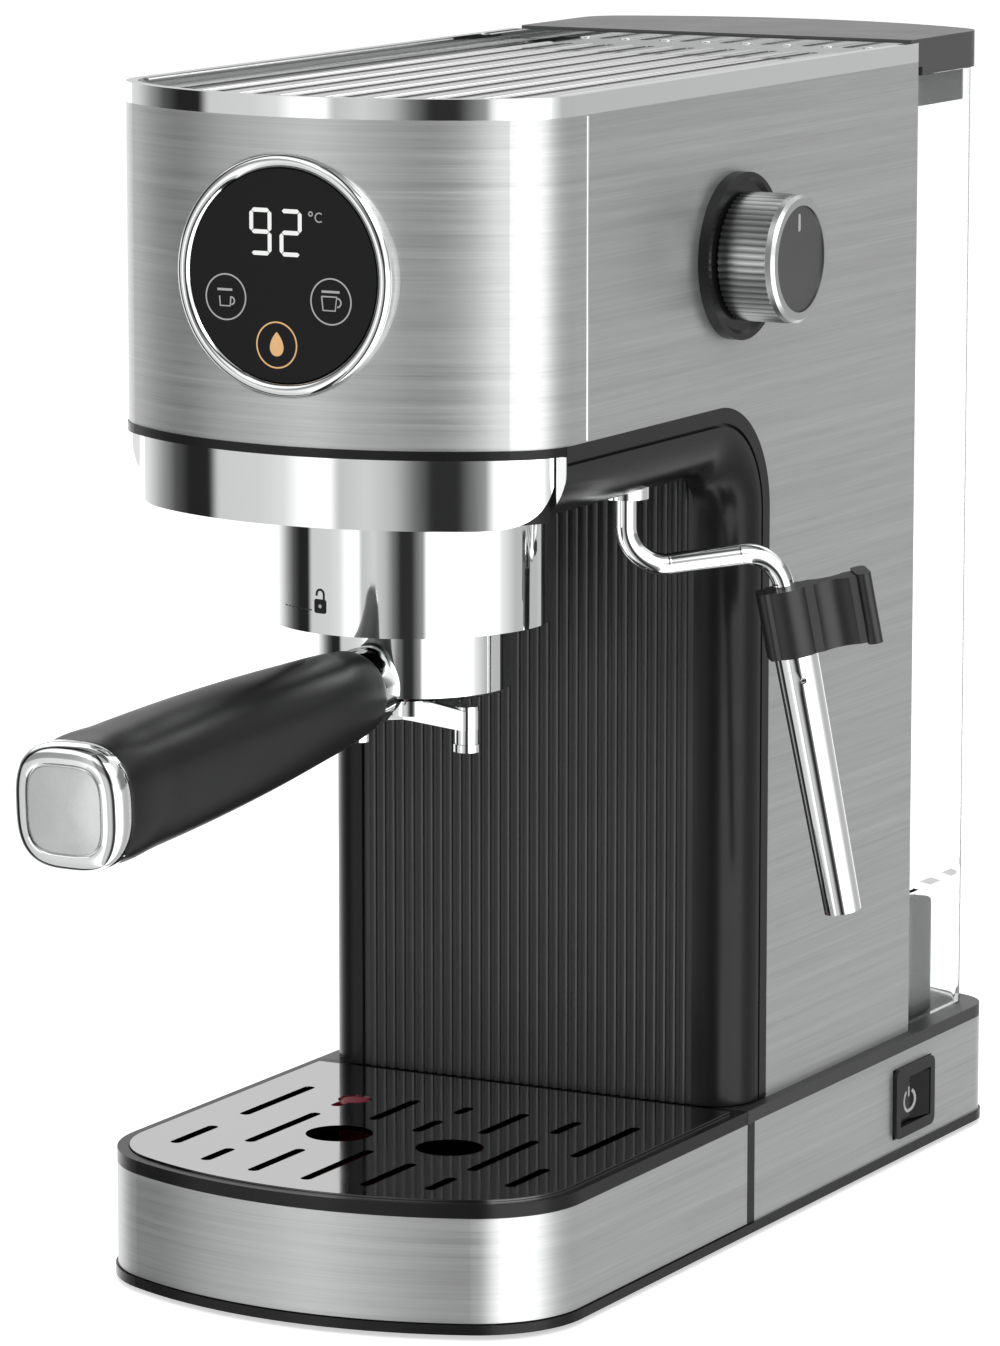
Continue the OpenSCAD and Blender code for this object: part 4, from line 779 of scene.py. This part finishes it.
class ESPRESSO_OT_ring(EspressoOperator, Operator):
    """Models the rounded chrome ring of the display and the steel land behind it"""

    bl_idname = "espresso.ring"
    bl_label = "Model the display ring"

    # Radius of the bead, how far the ring draws in over each metre behind it, and the radius
    # that it draws in to
    bead = 0.0019
    undercut = 0.6
    waist = 0.0277

    # Thickness of the land, how far it reaches past the ring's rim, and its gap to the ring
    land = 0.0004
    reach = 0.00005
    gap = 0.0001
    turns = np.linspace(0, 2 * np.pi, 128, endpoint=False)

    def execute(self, context):
        low, high = node_box("display_ring")
        outer, depth = (high[0] - low[0]) / 2, high[1] - low[1]
        middle = outer - self.bead
        a = np.linspace(np.pi, 0, 25)
        bead = np.stack([middle + self.bead * np.cos(a), self.bead * (1 - np.sin(a))], axis=-1)
        drawn_in = self.bead + (outer - self.waist) / self.undercut
        skirt = [(self.waist, drawn_in), (self.waist, depth), (middle - self.bead, depth)]
        radii, depths = np.concatenate([bead, skirt]).T[..., None] * np.ones(len(self.turns))
        make_piece("display_ring_polished", self.turned(radii, depths), "machine", "chrome",
                   crease=LATHE_CREASE, node="display_ring")
        proud = context.scene.espresso_marks.ring_proud
        far = np.full(len(self.turns), outer + self.reach)
        sunk = head_bow(far * np.sin(self.turns)) + proud
        near = np.where(sunk < self.bead,
                        middle + np.sqrt(np.maximum(self.bead ** 2 - (self.bead - sunk) ** 2, 0)),
                        np.maximum(outer - self.undercut * (sunk - self.bead), self.waist))
        near = np.minimum(near + self.gap, outer - self.reach)
        radii = np.stack([near, far, far, near])
        thick = np.array([0, 0, self.land, self.land])[:, None]
        depths = proud + head_bow(radii * np.sin(self.turns)) + thick
        make_piece("display_land", self.turned(radii, depths), "machine", "brushed_steel",
                   finish_of("display_land"), LATHE_CREASE)
        return {"FINISHED"}

    def turned(self, radii, depths):
        """Rows of points round the display's axis, closed both ways: at each turn a radius from
        the axis and a depth behind the front of the ring."""
        low, _ = node_box("display_ring")
        centre = node_centre("display_ring")
        points = xyz(centre[0] + radii * np.sin(self.turns), low[1] + depths,
                     centre[2] + radii * np.cos(self.turns))
        return points, looped_faces(*radii.shape)


def on_collar(points, turn, level):
    """Print on the collar: across runs round it from a turn in degrees from the front, up runs
    along Z from a level, depth out along its radius."""
    low, high = node_box("collar")
    centre, radius = (low + high) / 2, (high[0] - low[0]) / 2
    angle = math.radians(turn) + points[:, 0] / radius
    out = radius + SKIN / 2 + points[:, 2]
    return xyz(centre[0] + out * np.sin(angle), centre[1] - out * np.cos(angle),
               level + points[:, 1])


class ESPRESSO_OT_lock(EspressoOperator, Operator):
    """Prints the lock and its guide line on the collar"""

    bl_idname = "espresso.lock"
    bl_label = "Print the lock"

    # Degrees from the front, and height above the counter
    turn = -10.5
    level = 0.1768

    # Lock in shares of its width: height of the body; radius, middle, foot, open end and line
    # of the shackle; radius of the keyhole, and how many times as thick its print is
    height = 0.92
    shackle = (0.30, 0.78, 0.40, 0.66, 0.15)
    keyhole = (0.13, 1.5)

    # Guide line: places of its dashes, and their level, length and width
    dashes = np.arange(-0.0140, -0.0038, 0.0017)
    dash = (-0.0012, 0.0009, 0.0003)

    def execute(self, context):
        size = context.scene.espresso_marks
        width, depth = size.lock_width, size.print_depth
        body = plate(squircle(width, width * self.height, power=7.0, count=40), depth)
        radius, middle, foot, opening, line = width * np.array(self.shackle)
        bend = arc((0.0, middle), radius, 0, 180, count=14)
        shackle = np.concatenate([[(radius, foot)], bend, [(-radius, opening)]])
        self.add("collar_lock", [body, stroke(shackle, line, depth)], "black_plastic")
        radius, thicker = self.keyhole
        keyhole = plate(loop((0.0, 0.0), width * radius, count=16), depth * thicker)
        self.add("collar_keyhole", [keyhole], "light_plastic")
        level, length, line = self.dash
        bars = [stroke([(at, level), (at + length, level)], line, depth) for at in self.dashes]
        self.add("collar_guide", bars, "charcoal_plastic")
        return {"FINISHED"}

    def add(self, name, parts, slot):
        """One print on the collar."""
        points, faces = gather(parts)
        make_piece(name, (on_collar(points, self.turn, self.level), faces), "machine", slot)


class ESPRESSO_OT_power(EspressoOperator, Operator):
    """Prints the power symbol on the rocker, across the dip in its middle"""

    bl_idname = "espresso.power"
    bl_label = "Print the power symbol"

    # Outer face of the rocker: distance along the side from its rear edge, and depth from its
    # outermost point
    face_run = np.array([-0.0184, -0.0094, -0.0005])
    face_depth = np.array([-0.00188, -0.00194, 0.0])

    # How far the symbol stands forward of the rocker's middle, and below it
    shift = 0.0008

    # Angles of the open circle, and ends of the bar in shares of its radius
    circle = (122, 418)
    bar = (0.35, 1.25)

    def execute(self, context):
        size = context.scene.espresso_marks
        radius, line, depth = size.power_radius, size.power_line, size.print_depth
        high, centre = node_box("power_rocker")[1], node_centre("power_rocker")
        points, faces = gather([
            stroke(arc((0, 0), radius, *self.circle, count=40), line, depth),
            stroke([(0, radius * end) for end in self.bar], line, depth)])
        run = centre[1] - self.shift + points[:, 0]
        face = high[0] + np.interp(run - high[1], self.face_run, self.face_depth)
        points = xyz(face + SKIN + points[:, 2], run, centre[2] - self.shift + points[:, 1])
        make_piece("power_symbol", (points, faces), "rocker", "light_plastic")
        return {"FINISHED"}


class ESPRESSO_OT_pointer(EspressoOperator, Operator):
    """Fills the pointer groove of the steam knob with a light bar"""

    bl_idname = "espresso.pointer"
    bl_label = "Fill the pointer"

    # Ends of the groove above the knob's axis and its width; depth of the bar's rear face in
    # the knob, and its thickness
    groove = (0.0070, 0.0115, 0.0015)
    sunk = 0.00048
    thickness = 0.0004
    crease = 0.5

    def execute(self, context):
        start, end, width = self.groove
        high, centre = node_box("knob_inset")[1], node_centre("knob_inset")
        outline = squircle(width, end - start, power=5.0, count=32)
        points, faces = plate(outline, self.thickness)
        points = xyz(high[0] - self.sunk + points[:, 2], centre[1] + points[:, 0],
                     centre[2] + (start + end) / 2 + points[:, 1])
        make_piece("knob_pointer", (points, faces), "knob", "light_plastic", crease=self.crease)
        return {"FINISHED"}


class ESPRESSO_OT_handle(EspressoOperator, Operator):
    """Models the portafilter's grip, its end cap and the plate in the cap"""

    bl_idname = "espresso.handle"
    bl_label = "Model the handle"

    # Distance from the group's axis, width and height of the rounded square in millimetres, and
    # its power
    units = np.array([MM, MM, MM, 1.0])
    grip = units * [
        (31.5, 20.4, 20.4, 2.0), (31.9, 21.2, 21.3, 2.0), (32.8, 21.8, 22.0, 2.01),
        (36.0, 22.4, 22.8, 2.05), (61.5, 25.2, 26.3, 2.25), (101.5, 28.3, 29.6, 2.5),
        (140.5, 29.6, 30.6, 2.6), (158.8, 29.5, 30.5, 2.6), (159.9, 29.1, 30.1, 2.6),
        (160.4, 28.2, 29.2, 2.6)]
    cap = units * [
        (160.5, 28.6, 29.6, 2.6), (160.7, 29.6, 30.6, 2.7), (161.1, 30.0, 31.0, 2.75),
        (163.7, 30.0, 31.0, 2.8), (164.7, 29.6, 30.6, 2.85), (165.6, 28.7, 29.7, 2.9),
        (166.3, 27.3, 28.3, 3.0), (166.7, 25.6, 26.6, 3.1), (166.95, 23.0, 24.0, 3.3),
        (167.0, 21.2, 22.2, 3.5), (166.9, 20.9, 21.9, 3.5), (166.3, 20.8, 21.8, 3.5)]
    inset = units * [
        (166.2, 20.3, 21.3, 3.5), (166.75, 20.3, 21.3, 3.5), (166.88, 20.0, 21.0, 3.5),
        (166.95, 19.4, 20.4, 3.5)]

    def execute(self, context):
        size = context.scene.espresso_grips
        grip = eased(self.grip, count=60)
        self.add("handle_grip_moulded", grip, size, "grip_black", "handle_grip")
        self.add("handle_cap_polished", self.cap, size, "chrome", "handle_cap")
        self.add("handle_cap_plate", self.inset, size, "knob_metal", None)
        return {"FINISHED"}

    def add(self, name, rows, size, slot, node):
        """Rounded squares in a row along the tilted handle, closed at both ends."""
        squares = np.stack([squircle(w * size.swell, h * size.swell, power, count=96)
                            for w, h, power in rows[:, 1:]])
        across, up = squares[..., 0], squares[..., 1]
        along = rows[:, :1]
        c, d = math.cos(size.tilt), math.sin(size.tilt)
        axis = node_centre("collar")[1]
        points = xyz(across, axis - along * c - up * d, size.axis_height - along * d + up * c)
        make_piece(name, closed_grid(points), "portafilter", slot, crease=LATHE_CREASE, node=node)


class ESPRESSO_OT_ribs(EspressoOperator, Operator):
    """Raises a rounded rib on each land of the cup plate and lays black sheets in its grooves as
    painted shade
    """

    bl_idname = "espresso.ribs"
    bl_label = "Rib the cup plate"

    # Grooves: their count, spacing and width, and the depth below the floor of the plate and the
    # thickness of the black sheets in them, which are painted shade
    grooves = 9
    pitch = 0.0124
    groove_width = 0.0031
    groove_depth = 0.0006
    shade_sheet = 0.0005

    # Floor below the rim, front end of the middle groove, growth of the grooves' setback with
    # the square of their distance from it, and their rear end
    recess = 0.0026
    nose = -0.1334
    setback = 4.0
    rear = 0.0769

    # Height and width left at a strip's ends, as a share of its own
    least = 0.02

    # Satin ledge beside the grooves: gaps to the rim and to the groove, outer and inner front
    # ends, rear end and thickness
    ledge_gaps = (0.0033, 0.0004)
    ledge_front = (-0.112, -0.126)
    ledge_rear = 0.0860
    ledge_thickness = 0.00006

    def execute(self, context):
        size = context.scene.espresso_cups
        low, high = node_box("cup_plate")
        floor = high[2] - self.recess
        place = (np.arange(self.grooves) - (self.grooves - 1) / 2) * self.pitch
        # Black sheets laid in the grooves are painted shade
        self.add("cup_plate_groove_shade", place, self.groove_width, floor - self.groove_depth,
                 self.shade_sheet, "black_plastic")
        self.add("cup_plate_ribs", (place[:-1] + place[1:]) / 2, size.rib_width, floor + SKIN,
                 size.rib_height, "mirror_steel")
        outer = low[0] + self.ledge_gaps[0]
        inner = place[0] - self.groove_width / 2 - self.ledge_gaps[1]
        corners = np.array([(outer, self.ledge_front[0]), (inner, self.ledge_front[1]),
                            (inner, self.ledge_rear), (outer, self.ledge_rear)])
        points, faces = plate(corners, self.ledge_thickness)
        for name, side in (("cup_plate_ledge_left", 1), ("cup_plate_ledge_right", -1)):
            ledge = points * (side, 1, 1) + (0, 0, floor + SKIN / 2)
            make_piece(name, (ledge, faces), "machine", "knob_metal")
        return {"FINISHED"}

    def add(self, name, places, width, level, height, slot):
        """Strips at their places across the plate."""
        strips = gather([self.strip(x, width, level, height) for x in places])
        make_piece(name, strips, "machine", slot, crease=STRIP_CREASE)

    def strip(self, x, width, level, height):
        """A half round strip along Y on a level: across it the height falls off as a half
        ellipse, and it runs out at both ends over half its width."""
        turn = np.linspace(0, np.pi, 13)
        end = np.linspace(0, np.pi / 2, 7)
        fade = np.maximum(np.sin(end), self.least)
        share = np.concatenate([fade, fade[::-1]])[:, None]
        reach = width / 2 * (1 - np.cos(end))
        along = np.concatenate([self.front(x) + reach, self.rear - reach[::-1]])[:, None]
        across = x + width / 2 * share * np.cos(turn)
        up = level + height * share * np.sin(turn)
        return closed_grid(xyz(across, along, up))

    def front(self, x):
        """Front end of a groove: it follows the bow of the plate's front edge, and a setback
        that grows with the square of its distance from the middle."""
        return self.nose + head_bow(x) + self.setback * x * x


class ESPRESSO_OT_trims(EspressoOperator, Operator):
    """Fits the bright seam strip of the head and the bright ends of the black corner trims"""

    bl_idname = "espresso.trims"
    bl_label = "Fit the small trims"

    # Gap above and below the seam strip, and its place behind the head's sheet
    seam_gap = 0.0003
    seam_place = 0.00008

    # Lower outer corner of a corner trim's front end, in millimetres from its outer face and up;
    # thickness of its plate and the plate's gap
    end_outline = MM * np.array([
        (0.05, 218.6), (0.05, 214.6), (0.12, 213.2), (0.35, 211.85), (0.74, 210.5),
        (1.28, 209.25), (1.95, 208.0), (2.74, 206.85), (2.74, 218.6)])
    end_thickness = 0.0004
    end_gap = 0.00005

    def execute(self, context):
        size = context.scene.espresso_cups
        low, high = node_box("head_wrap")
        a = np.linspace(0, np.pi, 13)[None, :]
        level = np.array([low[2] + self.seam_gap, high[2] - self.seam_gap])[:, None]
        seam = xyz(high[0] - SKIN + size.seam_height * np.sin(a),
                   high[1] + self.seam_place + size.seam_width / 2 * np.cos(a), level)
        sides = (("right", 1), ("left", -1))
        for name, side in sides:
            make_piece("head_seam_" + name, closed_grid(seam * (side, 1, 1)), "machine",
                       "chrome", crease=STRIP_CREASE)
        for name, side in sides:
            low, high = node_box("arch_trim_" + name)
            points, faces = plate(self.end_outline, self.end_thickness)
            points = xyz(side * (np.abs([low[0], high[0]]).max() - points[:, 0]),
                         low[1] - self.end_gap - points[:, 2], points[:, 1])
            make_piece("trim_end_" + name, (points, faces), "machine", "chrome")
        return {"FINISHED"}


class ESPRESSO_OT_studio(EspressoOperator, Operator):
    """Makes the floor, the lamps, the world and the camera"""

    bl_idname = "espresso.studio"
    bl_label = "Set up the studio"

    # Brightness of the walls at a direction round the machine, in degrees from the front
    wall_steps = ((-180, 1.5), (-115, 1.5), (-108, 1.1), (-99, 0.7), (-91, 0.34), (-83, 0.1),
                  (-75, 0.02), (-64, 0.02), (-60, 0.7), (-42, 0.74), (-32, 0.85), (-22, 1.5),
                  (-16, 1.5), (-12, 0.62), (-2, 0.74), (7, 0.56), (14, 0.2), (20, 0.03),
                  (29, 0.03), (38, 0.35), (46, 2.8), (94, 2.7), (106, 1.0), (122, 0.56),
                  (150, 0.54), (180, 0.8))

    # Share of that brightness by height above the horizon, in degrees
    height_steps = ((-90, 1.0), (0, 1.0), (3, 0.45), (22, 0.45), (30, 1.7), (50, 1.7), (58, 0.2),
                    (90, 0.2))

    # Name, place, width and power in watts of each lamp, and the point that they look at
    lamp_table = (("key", (1.1, -1.6, 1.5), 1.2, 16.0), ("fill", (-1.8, -1.0, 0.9), 1.4, 10.0),
                  ("top", (0.0, 0.2, 2.2), 1.6, 14.0))
    lamp_target = (0.0, 0.0, 0.15)

    def execute(self, context):
        studio = context.scene.espresso_studio
        context.scene.view_settings.view_transform = "Standard"
        self.camera(context, studio)
        self.floor(studio)
        self.world(context, studio)
        self.lamps()
        return {"FINISHED"}

    def camera(self, context, studio):
        """Camera on a sphere round its target."""
        data = bpy.data.cameras.new("camera")
        data.lens = studio.lens
        data.sensor_width = 36.0
        eye = bpy.data.objects.new("camera", data)
        context.scene.collection.objects.link(eye)
        a, e = studio.azimuth, studio.elevation
        back = np.array([math.sin(a) * math.cos(e), -math.cos(a) * math.cos(e), math.sin(e)])
        eye.location = np.array(studio.target) + back * studio.distance
        eye.rotation_euler = (math.pi / 2 - e, 0.0, a)
        context.scene.camera = eye

    def floor(self, studio):
        """Pale floor that shows white to the camera and keeps the machine's shadow. Polished
        metal sees the studio's walls in its place."""
        half = studio.floor_size / 2
        corners = [(-half, -half, 0), (half, -half, 0), (half, half, 0), (-half, half, 0)]
        mesh = bpy.data.meshes.new("floor")
        mesh.from_pydata(corners, [], [(0, 1, 2, 3)])
        material, tree, shader, _ = new_material("Floor", Roughness=0.8, Specular_IOR_Level=0.0,
                                                 Base_Color=(0.9, 0.9, 0.9))
        rays = add_node(tree, "LightPath", {}).outputs
        seen = work_out(tree, "MAXIMUM", rays["Is Camera Ray"], rays["Is Transmission Ray"])
        lift = work_out(tree, "MULTIPLY", seen, studio.floor_lift)
        feed(tree, shader, {"Emission Strength": lift})
        mesh.materials.append(material)
        floor = bpy.data.objects.new("floor", mesh)
        floor.visible_glossy = False
        bpy.context.scene.collection.objects.link(floor)

    def world(self, context, studio):
        """Even light from all round. The camera sees white, and polished surfaces see white
        walls with dark gaps between them, set out by their direction round the machine."""
        world = bpy.data.worlds.new("studio")
        world.use_nodes = True
        tree = world.node_tree
        rays = add_node(tree, "LightPath", {}).outputs
        mirrored = work_out(tree, "MAXIMUM", rays["Is Glossy Ray"], rays["Is Transmission Ray"])
        even = self.mix(tree, rays["Is Camera Ray"], [studio.world_light] * 3, (1, 1, 1))
        seen = self.mix(tree, mirrored, even, self.walls(tree))
        feed(tree, tree.nodes["Background"], {"Color": seen})
        context.scene.world = world

    def mix(self, tree, share, low, high):
        """A colour that goes from one to another by a share."""
        return add_node(tree, "Mix", {"Factor": share, "A": low, "B": high},
                        data_type="RGBA").outputs["Result"]

    def walls(self, tree):
        """Colour of the studio's walls: a ramp over the angle round the upright axis, times a
        ramp over the height above the horizon."""
        place = add_node(tree, "TexCoord", {}).outputs["Generated"]
        x, y, z = add_node(tree, "SeparateXYZ", {"Vector": place}).outputs
        turn = work_out(tree, "ARCTAN2", x, work_out(tree, "MULTIPLY", y, -1.0))
        height = work_out(tree, "ARCSINE", z)
        return work_out_vector(tree, "MULTIPLY", self.ramp(tree, turn, self.wall_steps, 180),
                               self.ramp(tree, height, self.height_steps, 90))

    def ramp(self, tree, angle, steps, limit):
        """A ramp through (degrees, level) steps, over an angle between minus and plus a limit."""
        reach = math.radians(limit)
        share = add_node(tree, "MapRange", {"Value": angle, "From Min": -reach,
                                            "From Max": reach})
        ramp = add_node(tree, "ValToRGB", {"Fac": share.outputs["Result"]})
        stops = ramp.color_ramp.elements
        while len(stops) < len(steps):
            stops.new(0.5)
        for stop, (degrees, level) in zip(stops, steps):
            stop.position = (degrees + limit) / (2 * limit)
            stop.color = (level, level, level, 1)
        return ramp.outputs["Color"]

    def lamps(self):
        """Two large soft lamps and a top lamp."""
        for name, place, size, power in self.lamp_table:
            data = bpy.data.lights.new(name, "AREA")
            data.size = size
            data.energy = power
            lamp = bpy.data.objects.new(name, data)
            lamp.location = place
            aim = np.array(self.lamp_target) - np.array(place)
            yaw = math.atan2(-aim[0], aim[1])
            pitch = math.atan2(math.hypot(aim[0], aim[1]), -aim[2])
            lamp.rotation_euler = (pitch, 0.0, yaw)
            lamp.visible_glossy = False
            bpy.context.scene.collection.objects.link(lamp)


class ESPRESSO_PT_panel(Panel):
    """Sidebar panel with the steps in their order"""

    bl_label = "Espresso Machine"
    bl_idname = "ESPRESSO_PT_panel"
    bl_space_type = "VIEW_3D"
    bl_region_type = "UI"
    bl_category = "Espresso"

    def draw(self, context):
        for name, kind in SETTINGS:
            group = getattr(context.scene, name)
            column = self.layout.column(align=True)
            for label in kind.__annotations__:
                column.prop(group, label)
        for step in STEPS:
            self.layout.operator(step.bl_idname)


STEPS = (
    ESPRESSO_OT_studio,
    ESPRESSO_OT_finish,
    ESPRESSO_OT_ring,
    ESPRESSO_OT_display,
    ESPRESSO_OT_lock,
    ESPRESSO_OT_power,
    ESPRESSO_OT_pointer,
    ESPRESSO_OT_handle,
    ESPRESSO_OT_ribs,
    ESPRESSO_OT_trims,
)


def register():
    for _, kind in SETTINGS:
        bpy.utils.register_class(kind)
    for name, kind in SETTINGS:
        setattr(bpy.types.Scene, name, PointerProperty(type=kind))
    for kind in (*STEPS, ESPRESSO_PT_panel):
        bpy.utils.register_class(kind)


def unregister():
    for kind in reversed((*STEPS, ESPRESSO_PT_panel)):
        bpy.utils.unregister_class(kind)
    for name, kind in reversed(SETTINGS):
        delattr(bpy.types.Scene, name)
        bpy.utils.unregister_class(kind)


def main():
    """Runs every step."""
    register()
    for step in STEPS:
        area, verb = step.bl_idname.split(".")
        getattr(getattr(bpy.ops, area), verb)()


if __name__ == "__main__":
    main()
